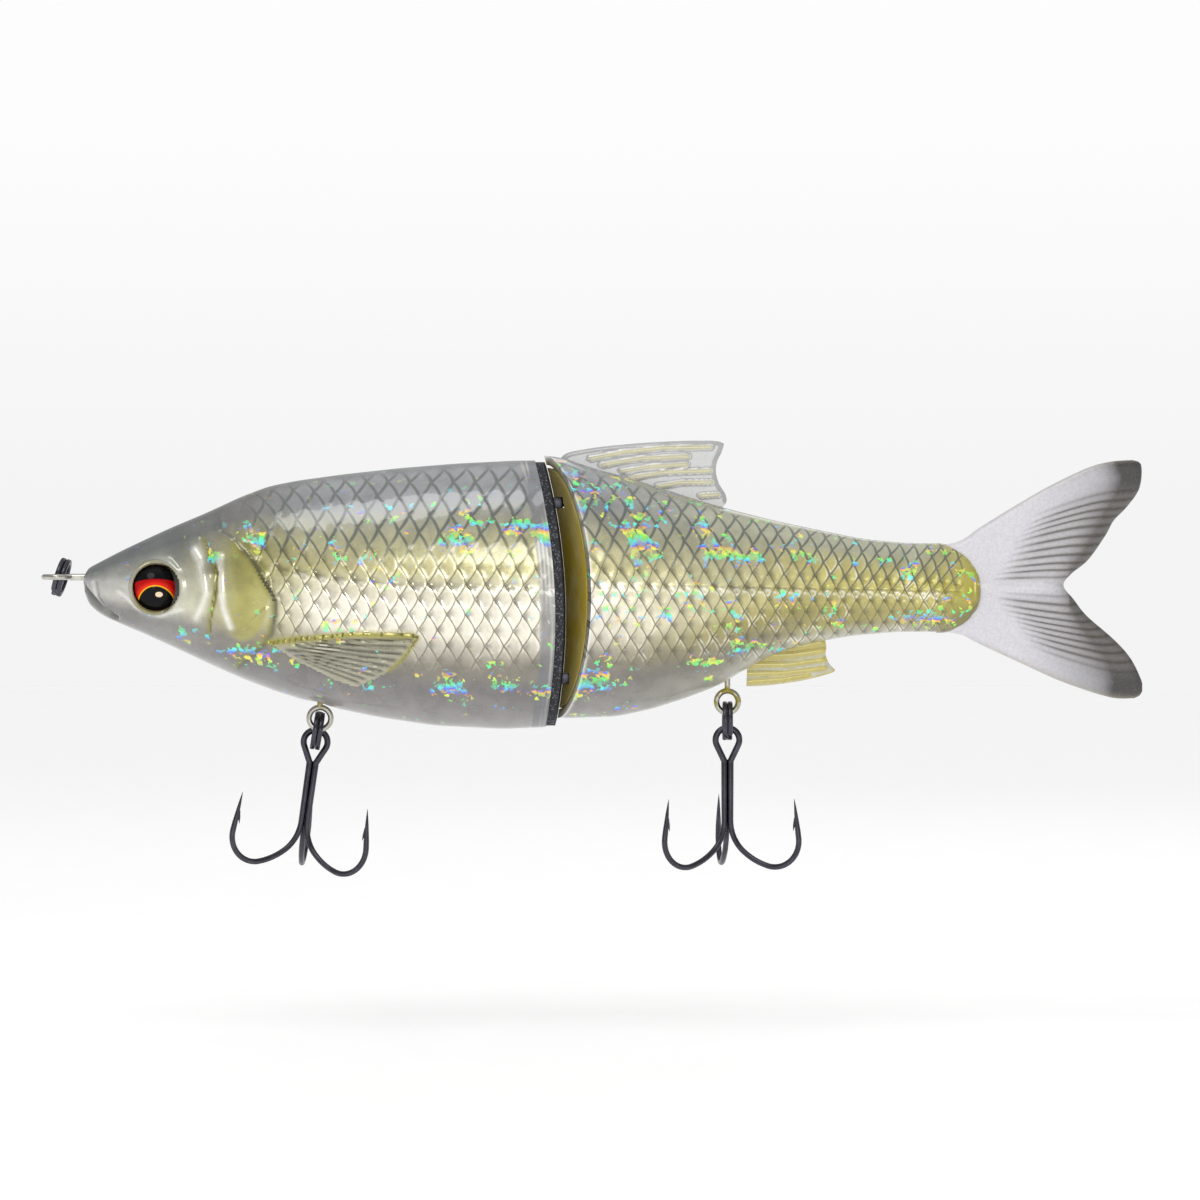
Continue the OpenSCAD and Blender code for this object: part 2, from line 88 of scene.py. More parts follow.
lateral_points = [(4.6, 0), (30, 1.6), (38.5, 0.9), (49.2, -1.05), (62.6, -2.4), (82.8, -2.8),
                  (95, -2.2), (115.6, -2.5), (129, -2.8), (146, -3.1), (155.5, -3.3), (162, -3.3)]


def fair(points, soften=1.4):
    """A flowing line through the points, as a function of the distance along the body."""
    at, value = np.array(points, float).T
    x = np.arange(at[0] - 8, at[-1] + 8, 0.2)
    line = np.interp(x, at, value)
    first = (value[1] - value[0]) / (at[1] - at[0])
    last = (value[-1] - value[-2]) / (at[-1] - at[-2])
    line = np.where(x < at[0], value[0] + (x - at[0]) * first, line)
    line = np.where(x > at[-1], value[-1] + (x - at[-1]) * last, line)
    weight = np.exp(-((np.arange(-4, 4.1, 0.2) / soften) ** 2))
    eased = np.convolve(line, weight / weight.sum(), "same")
    return lambda d: np.interp(d, x, eased)


back_line = {rear: fair(points) for rear, points in back_points.items()}
belly_line = {rear: fair(points) for rear, points in belly_points.items()}
width_line = fair(width_points)
mid_line = fair([(4.6, -0.8), (20, -1.4), (50, 0.4), (88, 1.8), (120, 0.6), (154, -1.9), (162, -2.3)])
lateral_line = fair(lateral_points)
nose_x, nose_round = 4.6, 1.3
peduncle_x, peduncle_r = 153.8, 7.9
end_round = 1.1


def end_disc(x):
    """Half the height of the round end that the tail comes out of."""
    return np.sqrt(np.maximum(0, peduncle_r**2 - (x - peduncle_x) ** 2))


def back(x, rear):
    if not rear:
        return back_line[False](x)
    return np.where(x > peduncle_x, mid_line(x) + end_disc(x), back_line[True](x))


def belly(x, rear):
    if not rear:
        return belly_line[False](x)
    return np.where(x > peduncle_x, mid_line(x) - end_disc(x), belly_line[True](x))


def skin(x, a, rear, inset=0.0):
    """Half width and height of the skin at a distance x and an angle a round the section."""
    mid = mid_line(x)
    nose = np.sqrt(np.clip(1 - ((nose_x + nose_round - x) / nose_round) ** 2, 0, 1))
    nose = np.where(x < nose_x + nose_round, nose, 1.0)
    end = np.sqrt(np.clip(1 - ((x - body_end_x + end_round) / end_round) ** 2, 0, 1))
    end = np.where(x > body_end_x - end_round, end, 1.0)
    up = np.maximum((back(x, rear) - mid) * nose - inset, 0.02)
    down = np.maximum((mid - belly(x, rear)) * nose - inset, 0.02)
    wide = np.maximum(width_line(x) * nose * end - inset, 0.02)
    above = np.interp(x, [26, 60, 115, 150], [1, 0.9, 0.9, 0.75])
    below = np.interp(x, [115, 150], [1, 0.75])
    power = np.where(a >= 0, above, below)
    y = wide * np.abs(np.cos(a)) ** power
    z = mid + np.where(a >= 0, up, -down) * np.abs(np.sin(a)) ** power
    return y, z


face_r, face_x, face_z = 104, 87.3, -7
pad_thick, joint_gap = 1.45, 0.3
wedge_x = face_x + pad_thick + joint_gap
wedge_turn = math.radians(23)
wedge_r = (face_r + pad_thick + joint_gap) / math.cos(wedge_turn)


def joint_face(y, z):
    """How far along the body the head section's round rear face is."""
    return face_x - face_r + np.sqrt(face_r**2 - (z - face_z) ** 2)


def wedge_face(y, z):
    """How far along the body the rear section's wedge is."""
    sag = wedge_r - np.sqrt(wedge_r**2 - (z - face_z) ** 2)
    return wedge_x + y * math.tan(wedge_turn) - sag / math.cos(wedge_turn)


def lay_skin(x, a, rear, inset):
    """The skin over a grid of places, with its open end cut to the joint's face."""
    face = wedge_face if rear else joint_face
    plane = x[0, 0] if rear else x[-1, 0]
    length = x[-1:, :] - x[:1, :]
    ease = ((x[-1:, :] - x) / length) ** 3 if rear else ((x - x[:1, :]) / length) ** 3
    at = x.copy()
    for _ in range(5):
        y, z = skin(at, a, rear, inset)
        at = x + (face(y, z) - plane) * ease
    y, z = skin(at, a, rear, inset)
    return np.stack([at, y, z], -1)


def near_line(x, z, points):
    """The distance from each place to a line drawn on the side of the fish, and how
    far behind it the place is."""
    best = np.full(x.shape, 1e9)
    side = np.zeros(x.shape)
    for (x0, z0), (x1, z1) in zip(points, points[1:]):
        dx, dz = x1 - x0, z1 - z0
        t = np.clip(((x - x0) * dx + (z - z0) * dz) / max(dx * dx + dz * dz, 1e-9), 0, 1)
        away = np.hypot(x - x0 - t * dx, z - z0 - t * dz)
        turn = np.sign((x - x0) * -dz + (z - z0) * dx) * (1 if dz < 0 else -1)
        side = np.where(away < best, turn, side)
        best = np.minimum(best, away)
    return best, side


def hill(distance, half_width):
    return np.exp(-((distance / half_width) ** 2))


def step(value, low, high):
    t = np.clip((value - low) / (high - low), 0, 1)
    return t * t * (3 - 2 * t)


def inside(x, z, points):
    """1 inside an outline drawn on the side of the fish, 0 outside."""
    hit = np.zeros(x.shape, bool)
    for (x0, z0), (x1, z1) in zip(points, points[1:] + points[:1]):
        crosses = (z0 > z) != (z1 > z)
        hit ^= crosses & (x < x0 + (z - z0) * (x1 - x0) / (z1 - z0 + 1e-9))
    return hit


gill_edge = [(28.4, 10.5), (29.1, 7.9), (31.9, 6.3), (35.2, 2.5), (37.8, -1.9), (38.9, -4), (39, -6.5),
             (38.2, -9.8), (36.8, -11.7), (32.2, -15.6)]
cheek_groove = [(26.2, 6.6), (27.1, 4.7), (28.7, 0.7), (28.5, -2.5), (27.5, -7), (27.1, -10.2)]
cheek_ridge = [(24.9, 4.6), (25.9, 3), (26.5, 0.4), (26.9, -2.8), (26.1, -5.2), (25.3, -7)]
cover_ridge = [(29.4, 3.6), (29.5, -1), (30, -5.3), (31.2, -8.6)]
cover_fold = [(37.6, -5.6), (33.8, -8.8), (30.4, -10.5), (27.6, -11)]
mouth_slit = [(4.4, -1), (6.1, -3), (8.2, -5.4), (10.5, -7.2)]
jaw_fold = [(7.2, -0.9), (7.7, -3.5), (9.1, -5.6), (10, -6.3)]
eye_fold = [(11.5, -2.4), (14.5, -5), (18.9, -6.6), (22.6, -5.6)]
brow_fold = [(20.9, 3.4), (22, 1.9)]
cheek_sparkle = [(17, -7.8), (21, -9.5), (25.5, -11.3)]
fin_outline = [(37.8, -11.5), (42.5, -10.8), (52.5, -9.8), (62.6, -10), (63.6, -10.5), (61.3, -13.8),
               (58.6, -16.2), (56.5, -17.5), (54.9, -18), (52.9, -19.2), (49.2, -17.9), (42.5, -14.5)]
fin_spine = [(37.8, -11.4), (42.5, -10.8), (52.5, -9.9), (62.6, -10.1)]
fin_root, fin_ray_turn = (34.5, -11), 2.7
eye_at = (18.1, -1.85)
eye_r = 4.0
scale_shrink_at = [(30, 1), (85, 1), (92, 0.9), (110, 0.87), (130, 0.8), (150, 0.7), (162, 0.66)]


def from_eye(x, z):
    return np.hypot((x - eye_at[0]) / 0.97, z - eye_at[1])


def from_cover(x, z):
    """How far out from the middle of the gill cover's bulge, which ends at 1."""
    return ((x - 33.2) / 4.9) ** 2 + ((z + 2.4) / 9) ** 2


def fin_ray_wave(x, z):
    """The side fin's printed rays: 1 on a ray and -1 between two."""
    fan = np.degrees(np.arctan2(z - fin_root[1], x - fin_root[0]))
    return np.cos((fan + 1) / fin_ray_turn * 2 * np.pi)


def scale_net(x, z, s, rear):
    """Where each place is in the net of scales: how many scales along, how many
    rows up, and how far in front of its scale's rear edge."""
    run = np.arange(0, 170, 0.25)
    shrink_at, shrink = np.array(scale_shrink_at).T
    count = np.cumsum(0.25 / (scale_width * np.interp(run, shrink_at, shrink)))
    middle = 120 if rear else 62
    over = np.maximum(s, 0)
    along = (np.interp(x, run, count) - np.interp(middle, run, count)) / (1 + 0.008 * over) + 40
    rows = (s - 0.012 * over**2 * 0.5) / (scale_row * np.interp(x, shrink_at, shrink)) + 40.5
    row = np.floor(rows)
    t = rows - row
    part = (along + 0.5 * (row % 2)) % 1
    first = 0.5 - 0.25 * (t + t * t)
    second = first + t
    ahead = np.minimum((first - part) % 1, (second - part) % 1)
    return along, rows, ahead


def soften(h):
    p = np.pad(h, 1, "edge")
    h = (p[:-2, 1:-1] + 2 * p[1:-1, 1:-1] + p[2:, 1:-1]) / 4
    p = np.pad(h, 1, "edge")
    return (p[1:-1, :-2] + 2 * p[1:-1, 1:-1] + p[1:-1, 2:]) / 4


def lateral_pores(s, along):
    """The row of little rings and dashes along the middle of the side."""
    across = (along % 1 - 0.5) * scale_width
    ring = hill(np.hypot(across, s) - 0.55, 0.22)
    dash = hill(s, 0.25) * hill(np.abs(across) - scale_width / 2, 0.45)
    return np.maximum(ring, dash)


def relief(x, y, z, s, ahead, along, rear):
    """How far the moulded detail stands in or out of the plain skin, in millimetres."""
    band = step(s, -13, -9) * (1 - step(s, 1.5, 5))
    low = step(z - belly(x, rear), 3.5, 7)
    top = 1 - step(z - back(x, rear), -2.2, -0.6)
    scales = -(0.09 + (0.18 if rear else 0.24) * band) * low * top * (1 - (1 - ahead) ** 1.6)
    tubes = 0.16 * lateral_pores(s, along)
    if rear:
        near_end = 1 - step(x, 156.5, 159)
        rim = -0.12 * hill(x - 160.2, 0.35)
        return soften((scales + tubes) * near_end) + rim
    behind, turn = near_line(x, z, gill_edge)
    behind = behind * turn
    covered = np.where(x > 60, 5.0, behind)
    h = soften((scales + tubes * step(x, 39, 41)) * step(covered, 0.3, 1.1))
    beside = hill(z + 3, 9)
    h += -0.42 * beside * np.where(
        covered > 0, np.exp(-np.maximum(covered, 0) / 2.6), 0
    ) * step(x, 20, 27)
    h += 0.14 * hill(np.minimum(covered, 0), 0.8) * (covered <= 0) * step(x, 27, 30) * (x < 40)
    h += 0.42 * np.sqrt(np.clip(1 - from_cover(x, z), 0, 1))
    for line, height, reach in [
        (cheek_groove, -0.5, 0.42), (cheek_ridge, 0.5, 0.8), (cover_ridge, 0.3, 0.55),
        (cover_fold, 0.26, 0.4), (mouth_slit, -0.5, 0.32), (jaw_fold, -0.3, 0.3),
        (eye_fold, 0.22, 0.5), (brow_fold, -0.2, 0.4),
    ]:
        h += height * hill(near_line(x, z, line)[0], reach)
    h += -0.4 * hill(np.hypot(x - 10.6, z + 7.1), 0.5)
    h += 0.2 * hill(np.hypot((x - 9.6) / 2.6, (z + 3.2) / 2), 0.8)
    eye_distance = from_eye(x, z)
    h += 0.35 * hill(eye_distance - eye_r - 0.75, 0.55)
    h = np.where(eye_distance < eye_r + 0.12, -1.5, h)
    fin = inside(x, z, fin_outline)
    edge = near_line(x, z, fin_outline + fin_outline[:1])[0]
    rays = 0.13 * fin_ray_wave(x, z) * step(edge, 0.1, 0.8)
    h = np.where(fin, 0.12 + rays + 0.16 * hill(edge, 0.45), h - 0.12 * hill(edge, 0.6) * (x > 37))
    h += 0.14 * hill(near_line(x, z, fin_spine)[0], 0.5)
    dimple = hill(np.hypot(x - 46, (z - belly(x, rear)) * 1.2), 1.9)
    return np.where((x > 40) & (dimple > 0.05), h - 0.35 * dimple, h)


def srgb(code):
    """A colour code as the light that it stands for."""
    part = np.array([int(code[i : i + 2], 16) / 255 for i in (0, 2, 4)])
    return np.where(part <= 0.04045, part / 12.92, ((part + 0.055) / 1.055) ** 2.4)


# The airbrush colours, and the stripes that they are sprayed in. The stripes also hold painted
# light: the darker stripe low on the flank is painted shade, and the bright silver band and the
# light nose and cheek stripes are partly painted highlight. Each stripe list stands
# at a distance along the body and goes up the side, from 0 at the belly to 1 at the back.
paints_and_painted_light = {
    "belly_grey": "94918e", "shadow_grey": "777472", "warm_grey": "857f70", "silver": "f0ead8",
    "pale_gold": "c2bb88", "straw": "b4b08a", "haze": "a2a293", "slate": "8a8c8f",
    "ridge": "98999b", "throat": "8f8d89", "nose_low": "7a7876", "nose_light": "acaba8",
    "cheek": "c9c8b6", "nose_top": "686b69", "gill_gold": "aca666", "wrist": "9b9252",
    "wrist_gold": "bbb168", "wrist_top": "aeae96", "cap_dark": "7a7330", "cap_gold": "a99f3a",
}
flank = [(0, "belly_grey"), (0.15, "shadow_grey"), (0.23, "warm_grey"), (0.36, "silver"),
         (0.46, "silver"), (0.6, "pale_gold"), (0.7, "straw"), (0.86, "slate"), (1, "ridge")]
stripes = {
    6: [
        (0, "nose_low"), (0.22, "nose_low"), (0.4, "nose_light"), (0.6, "nose_light"),
        (0.86, "nose_top")
    ],
    22: [(0, "throat"), (0.22, "throat"), (0.35, "cheek"), (0.52, "cheek"), (0.86, "nose_top")],
    34: [(0, "throat"), (0.1, "shadow_grey"), (0.22, "warm_grey"), (0.33, "gill_gold"),
         (0.68, "gill_gold"), (0.88, "nose_low")],
    46: flank,
    94: flank,
    118: [(0, "haze"), (0.15, "warm_grey"), (0.3, "wrist"), (0.42, "pale_gold"), (0.7, "straw"),
          (0.86, "wrist_top")],
    134: [(0, "wrist_top"), (0.15, "wrist"), (0.3, "wrist"), (0.45, "wrist_gold"),
          (0.7, "wrist_gold"), (0.86, "wrist_top")],
    150: [
        (0, "warm_grey"), (0.15, "wrist"), (0.36, "wrist_gold"), (0.56, "cap_gold"), (0.86, "wrist_top")
    ],
    161: [(0, "cap_dark"), (0.15, "cap_dark"), (0.3, "cap_gold")],
}


def airbrush_and_painted_light(x, up):
    """The colour at a distance along the body and a share of its height: airbrush, painted shade and
    painted highlight.
    """
    spots = sorted(stripes)
    colour = np.zeros(x.shape + (3,))
    for number, spot in enumerate(spots):
        heights, names = zip(*stripes[spot])
        coats = np.array([srgb(paints_and_painted_light[name]) for name in names])
        share = np.interp(x, spots, np.eye(len(spots))[number])[..., None]
        colour += share * np.stack([np.interp(up, heights, coat) for coat in coats.T], -1)
    return colour


def paint(x, y, z, s, ahead, along, rear):
    """The colour of the skin, with painted shade and painted highlights, and how metallic, flecked and
    netted it is.
    """
    up = np.clip((z - belly(x, rear)) / np.maximum(back(x, rear) - belly(x, rear), 0.1), 0, 1)
    # the airbrushed stripes, with painted shade low on the flank and painted highlight in the silver band
    colour = airbrush_and_painted_light(x, up)
    scaled = step(s, -15, -10) * (1 - step(s, 3, 8))
    metal = 0.25 + 0.6 * step(up, 0.2, 0.32) * (1 - step(up, 0.55, 0.75))
    metal *= step(up, 0.03, 0.12)
    flecks = 0.02 + 0.8 * hill(up - 0.73, 0.07) + 0.7 * hill(up - 0.15, 0.05) + 0.06 * hill(up - 0.4, 0.2)
    net = step(up, 0.56, 0.74) * (1 - step(up, 0.955, 0.99)) * 0.85
    olive, dark, white = srgb("8f8a3a"), srgb("4e524c"), srgb("f6f4ee")

    def tint(colour, code, amount):
        return colour * (1 - amount[..., None]) + code * amount[..., None]

    if rear:
        flecks = flecks * 0.9 + 0.25 * hill((x - 95) / 12, 1) * step(up, 0.5, 0.65) + 0.10
        net = np.maximum(
            net, step(x, 120, 134) * step(up, 0.42, 0.6) * 0.75
        ) * (1 - step(x, 157.5, 159))
        colour = tint(
            colour, srgb("cfcbbf"),
            0.5 * hill((z - belly(x, rear)) / 1.7, 1) * step(x, 112, 122) * (1 - step(x, 150, 156))
        )
        colour = tint(colour, srgb("8d8228"), 0.75 * hill(x - 161.4, 0.7))
        edge = wedge_face(y, z)
        colour = tint(colour, white, 0.85 * hill(x - edge, 0.3))
        metal *= 1 - 0.55 * step(x, 118, 140)
        scaled = scaled * (1 - step(x, 154, 158))
    else:
        behind, turn = near_line(x, z, gill_edge)
        behind = np.where(x > 60, 9, behind * turn)
        net = net * step(behind, 1.5, 5) * step(x, 30, 36)
        scaled = scaled * step(behind, 0.2, 1)
        flecks = np.where(x < 27, 0.03 + 0.75 * hill(near_line(x, z, cheek_sparkle)[0], 1.1), flecks)
        cover = 1 - step(from_cover(x, z), 0.8, 1.05)
        flecks = flecks * (1 - 0.85 * cover)
        colour = tint(colour, srgb("a9a458"), 0.75 * cover * step(x, 30, 33))
        # painted highlights along the cheek ridge and along the gill cover's ridge
        colour = tint(colour, srgb("f0eee4"), 0.75 * hill(near_line(x, z, cheek_ridge)[0], 0.7))
        colour = tint(colour, srgb("f6f4ec"), 0.85 * hill(near_line(x, z, cover_ridge)[0], 0.55))
        colour = tint(colour, olive, 0.85 * hill(near_line(x, z, cheek_groove)[0], 0.4))
        colour = tint(colour, olive, 0.8 * hill(behind + 0.35, 0.55) * step(7.5 - z, 0, 3) * (x < 40))
        # painted shadow in a dark line just behind the gill cover's raised edge
        colour = tint(colour, dark, 0.7 * hill(behind - 0.15, 0.4) * (x < 40.5))
        # painted highlights along the eye fold, in a spot on the snout and beside the jaw fold
        colour = tint(colour, white, 0.5 * hill(near_line(x, z, eye_fold)[0], 0.4))
        colour = tint(colour, white, 0.35 * hill(np.hypot((x - 12.5) / 1.8, (z + 2) / 1.6), 1))
        colour = tint(colour, white, 0.5 * hill(near_line(x + 0.55, z, jaw_fold)[0], 0.28))
        # painted shade in the mouth slit, in the jaw fold and in the nostril pit
        colour = tint(colour, dark, 0.75 * hill(near_line(x, z, mouth_slit)[0], 0.3))
        colour = tint(colour, dark, 0.5 * hill(near_line(x, z, jaw_fold)[0], 0.25))
        colour = tint(colour, dark, 0.5 * hill(np.hypot(x - 10.6, z + 7.1), 0.45))
        eye_distance = from_eye(x, z)
        colour = tint(colour, srgb("6d6228"), 0.9 * hill(eye_distance - eye_r - 0.15, 0.3))
        colour = np.where((eye_distance < eye_r)[..., None], srgb("1c1a14"), colour)
        metal = np.where(x < 26, 0.25 + 0.35 * hill(np.hypot((x - 24) / 6, (z + 3) / 8), 1), metal)
        fin = inside(x, z, fin_outline)
        groove = 0.5 - 0.5 * fin_ray_wave(x, z)
        edge = near_line(x, z, fin_outline + fin_outline[:1])[0]
        rays = tint(
            np.broadcast_to(srgb("aaa690"), colour.shape), srgb("3f3d30"),
            0.85 * groove * step(edge, 0.2, 0.9)
        )
        colour = np.where(fin[..., None], rays, colour)
        spine = np.minimum(near_line(x, z, fin_spine)[0], near_line(x, z, fin_outline[3:7])[0] * 1.6)
        colour = tint(colour, srgb("a39c3a"), 0.95 * hill(spine, 0.6))
        flecks = np.where(fin, 0.04, flecks)
        scaled = np.where(fin, 0, scaled) * (1 - hill(spine, 0.9))
        net = np.where(fin, 0, net)
        from_face = x - joint_face(y, z)
        clear_rim = step(from_face, -2.9, -2.3)
        streak = np.sin(14 * from_face + 0.1 * z) * np.sin(5.3 * from_face)
        colour = tint(colour, srgb("6f7074"), 0.75 * clear_rim)
        colour = tint(colour, white, 0.45 * clear_rim * step(streak, 0.2, 0.8))
        metal = metal * (1 - 0.6 * clear_rim)
        net = net * (1 - clear_rim)
        scaled = scaled * (1 - clear_rim)
    # painted highlight on the lateral line's little rings and dashes
    pore_highlight = lateral_pores(s, along) * (x > 42) * (1 - step(x, 154, 157))
    colour = tint(colour, srgb("fffcf0"), 0.6 * pore_highlight)
    # painted shade over the front part of each scale, and a faint painted highlight just in front of its
    # rear edge
    shade = 1 - scaled * 0.62 * step(ahead, 0.42, 0.95) + 0.10 * scaled * hill(ahead - 0.12, 0.12)
    colour = colour * shade[..., None]
    return np.clip(colour, 0, 1), metal, np.clip(flecks, 0, 1), net, scaled


def two_faced_sheet(columns, rows):
    """A thin closed sheet of small squares, and each corner's column, row and face."""
    bm = bmesh.new()
    bmesh.ops.create_grid(bm, x_segments=columns, y_segments=rows, size=0.5)
    bmesh.ops.solidify(bm, geom=bm.faces[:], thickness=1.0)
    place = np.array([v.co for v in bm.verts])
    column = np.rint((place[:, 0] + 0.5) * columns).astype(int)
    row = np.rint((place[:, 1] + 0.5) * rows).astype(int)
    return bm, column, row, np.abs(place[:, 2]) > 0.5


def put_in_place(bm, name, places):
    """Moves each corner of a sheet to its place and makes it a piece."""
    mesh = bpy.data.meshes.new(name)
    bm.to_mesh(mesh)
    bm.free()
    mesh.vertices.foreach_set("co", (places * mm).astype(np.float32).ravel())
    piece = bpy.data.objects.new(name, mesh)
    bpy.context.scene.collection.objects.link(piece)
    return piece


def true_up(piece, sharp=42, merge=0.01):
    """Merges poles and seams, turns the faces outwards and sets smooth shading."""
    bm = bmesh.new()
    bm.from_mesh(piece.data)
    bmesh.ops.remove_doubles(bm, verts=bm.verts[:], dist=merge * mm)
    bmesh.ops.recalc_face_normals(bm, faces=bm.faces[:])
    bm.to_mesh(piece.data)
    bm.free()
    piece.data.shade_smooth()
    piece.data.set_sharp_from_angle(angle=math.radians(sharp))


def colour_layer(piece, name, values):
    """Stores a colour for each corner of the mesh."""
    full = np.ones((len(values), 4), np.float32)
    full[:, : values.shape[1]] = values
    layer = piece.data.attributes.new(name, "FLOAT_COLOR", "POINT")
    layer.data.foreach_set("color", full.ravel())


def shell_half(name, side, rear, node):
    pitch = 0.34
    if rear:
        straight = np.arange(wedge_x, peduncle_x, pitch)
        turn = np.radians(np.linspace(0, 89.3, int(12 / pitch)))
        x = np.concatenate([straight, peduncle_x + peduncle_r * np.sin(turn)])
        rows = int(50 / pitch)
    else:
        turn = np.radians(np.linspace(0, 90, 9))
        x = np.concatenate(
            [
                nose_x + nose_round * (1 - np.cos(turn[:-1])),
                np.arange(nose_x + nose_round, face_x, pitch), [face_x]
            ]
        )
        rows = int(56 / pitch)
    fine = np.radians(np.linspace(90, -90, 241))
    a = np.zeros((len(x), rows + 1))
    for i, xi in enumerate(x):
        y, z = skin(np.full(fine.shape, xi), fine, rear)
        length = np.concatenate([[0], np.cumsum(np.hypot(np.diff(y), np.diff(z)))])
        a[i] = np.interp(np.linspace(0, length[-1], rows + 1), length, fine)
    grid_x = np.repeat(x[:, None], rows + 1, 1)
    outer = lay_skin(grid_x, a, rear, 0)
    inner = lay_skin(grid_x, a, rear, wall)
    ox, oy, oz = outer[..., 0], outer[..., 1], outer[..., 2]
    length = np.concatenate(
        [np.zeros((len(x), 1)), np.cumsum(np.hypot(np.diff(oy), np.diff(oz)), 1)], 1
    )
    lateral = lateral_line(ox)
    at_line = np.array([np.interp(-lateral[i].mean(), -oz[i], length[i]) for i in range(len(x))])
    s = at_line[:, None] - length
    along, rows_up, ahead = scale_net(ox, oz, s, rear)
    h = relief(ox, oy, oz, s, ahead, along, rear)
    colour, metal, flecks, net, scaled = paint(ox, oy, oz, s, ahead, along, rear)
    du = np.gradient(outer, axis=0)
    dv = np.gradient(outer, axis=1)
    normal = np.cross(du, dv)
    normal /= np.maximum(np.linalg.norm(normal, axis=-1, keepdims=True), 1e-9)
    flip = np.sign((normal[..., 1] * oy + normal[..., 2] * (oz - mid_line(ox))).mean())
    outer = outer + normal * flip * h[..., None]
    for layer in (outer, inner):
        layer[:, 0, 1] = layer[:, -1, 1] = 0
        layer[..., 1] = np.maximum(layer[..., 1], 0) * side
    bm, column, row, back_face = two_faced_sheet(len(x) - 1, rows)
    places = np.where(back_face[:, None], inner[column, row], outer[column, row])
    piece = put_in_place(bm, name, places)
    edge_tint = np.where(back_face[:, None], srgb("8a7f3c" if rear else "a5a29c"), colour[column, row])
    colour_layer(piece, "paint", edge_tint)
    colour_layer(piece, "finish", np.stack([metal, flecks, net], -1)[column, row] * ~back_face[:, None])
    colour_layer(piece, "relief", np.stack([scaled, h * 0, h * 0], -1)[column, row])
    corners = np.zeros(len(piece.data.loops), np.int64)
    piece.data.loops.foreach_get("vertex_index", corners)
    spread = np.stack([along[column, row], rows_up[column, row]], -1)[corners]
    piece.data.uv_layers.new(name="scales").data.foreach_set("uv", spread.astype(np.float32).ravel())
    true_up(piece)
    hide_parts(node)
    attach(piece, "rear_section" if rear else "head_section")
    return piece


def new_finish(name):
    """A new material, its node tree and its shader."""
    finish = bpy.data.materials.new(name)
    finish.use_nodes = True
    tree = finish.node_tree
    return finish, tree, tree.nodes["Principled BSDF"]


def add(tree, kind, inputs=None, **settings):
    """One node, with its settings made and its inputs set or joined up."""
    node = tree.nodes.new("ShaderNode" + kind)
    for key, value in settings.items():
        setattr(node, key, value)
    for key, value in (inputs or {}).items():
        if isinstance(value, bpy.types.NodeSocket):
            tree.links.new(value, node.inputs[key])
        else:
            node.inputs[key].default_value = value
    return node


def sums(tree, operation, a, b=0.0, c=0.0):
    return add(tree, "Math", {0: a, 1: b, 2: c}, operation=operation).outputs[0]


def blended(tree, share, a, b, way="MIX"):
    """Two colours mixed by a share."""
    node = add(tree, "Mix", {}, data_type="RGBA", blend_type=way)
    for key, value in ((0, share), (6, a), (7, b)):
        if isinstance(value, bpy.types.NodeSocket):
            tree.links.new(value, node.inputs[key])
        else:
            node.inputs[key].default_value = value
    return node.outputs[2]


def graded(tree, value, low, high, to_low=0.0, to_high=1.0):
    """A value taken smoothly from one range to another."""
    return add(tree, "MapRange", {0: value, 1: low, 2: high, 3: to_low, 4: to_high},
               interpolation_type="SMOOTHSTEP").outputs[0]


def rgba(code):
    return (*srgb(code), 1.0)


shell_finish, tree, shader = new_finish("foiled_clear_plastic")
paint_node = add(tree, "Attribute", attribute_name="paint")
finish_parts = add(
    tree, "SeparateColor", {0: add(tree, "Attribute", attribute_name="finish").outputs["Color"]}
)
relief_parts = add(tree, "Attribute", attribute_name="relief").outputs["Color"]
scaled_part = add(tree, "SeparateColor", {0: relief_parts}).outputs[0]
metal_share, fleck_share, net_share = finish_parts.outputs[:3]
spread = add(tree, "SeparateXYZ", {0: add(tree, "UVMap", uv_map="scales").outputs[0]})
row = sums(tree, "FLOOR", spread.outputs[1])
t = sums(tree, "FRACT", spread.outputs[1])
offset = sums(tree, "MULTIPLY", sums(tree, "FLOORED_MODULO", row, 2.0), 0.5)
part = sums(tree, "ADD", spread.outputs[0], offset)
first = sums(tree, "MULTIPLY_ADD", sums(tree, "MULTIPLY_ADD", t, t, t), -0.25, 0.5)
second = sums(tree, "ADD", first, t)
to_edges = [
    sums(
        tree, "ABSOLUTE",
        sums(
            tree, "SUBTRACT",
            sums(tree, "FRACT", sums(tree, "ADD", sums(tree, "SUBTRACT", part, edge), 0.5)), 0.5
        )
    )
    for edge in (first, second)
]
to_edge = sums(tree, "MINIMUM", *to_edges)
place = add(tree, "TexCoord").outputs["Object"]
waver = add(tree, "TexNoise", {"Vector": place, "Scale": 900.0, "Detail": 3.0}).outputs[0]
ragged = sums(tree, "MULTIPLY_ADD", sums(tree, "SUBTRACT", waver, 0.5), 0.05, to_edge)
net_line = graded(tree, ragged, 0.035, 0.13, 1.0, 0.0)
edge_line = graded(tree, to_edge, 0.015, 0.055, 1.0, 0.0)
cloud = add(
    tree, "TexNoise", {"Vector": place, "Scale": 260.0, "Detail": 5.0, "Roughness": 0.6}
).outputs[0]
mottle = graded(tree, cloud, 0.3, 0.7, 0.86, 1.12)
colour = blended(
    tree, 1.0, paint_node.outputs["Color"],
    add(tree, "CombineColor", {0: mottle, 1: mottle, 2: mottle}).outputs[0], "MULTIPLY"
)
colour = blended(tree, sums(tree, "MULTIPLY", net_line, net_share), colour, rgba("5b615c"))
colour = blended(
    tree, sums(tree, "MULTIPLY", sums(tree, "MULTIPLY", edge_line, scaled_part), 0.75), colour,
    rgba("5c5734")
)
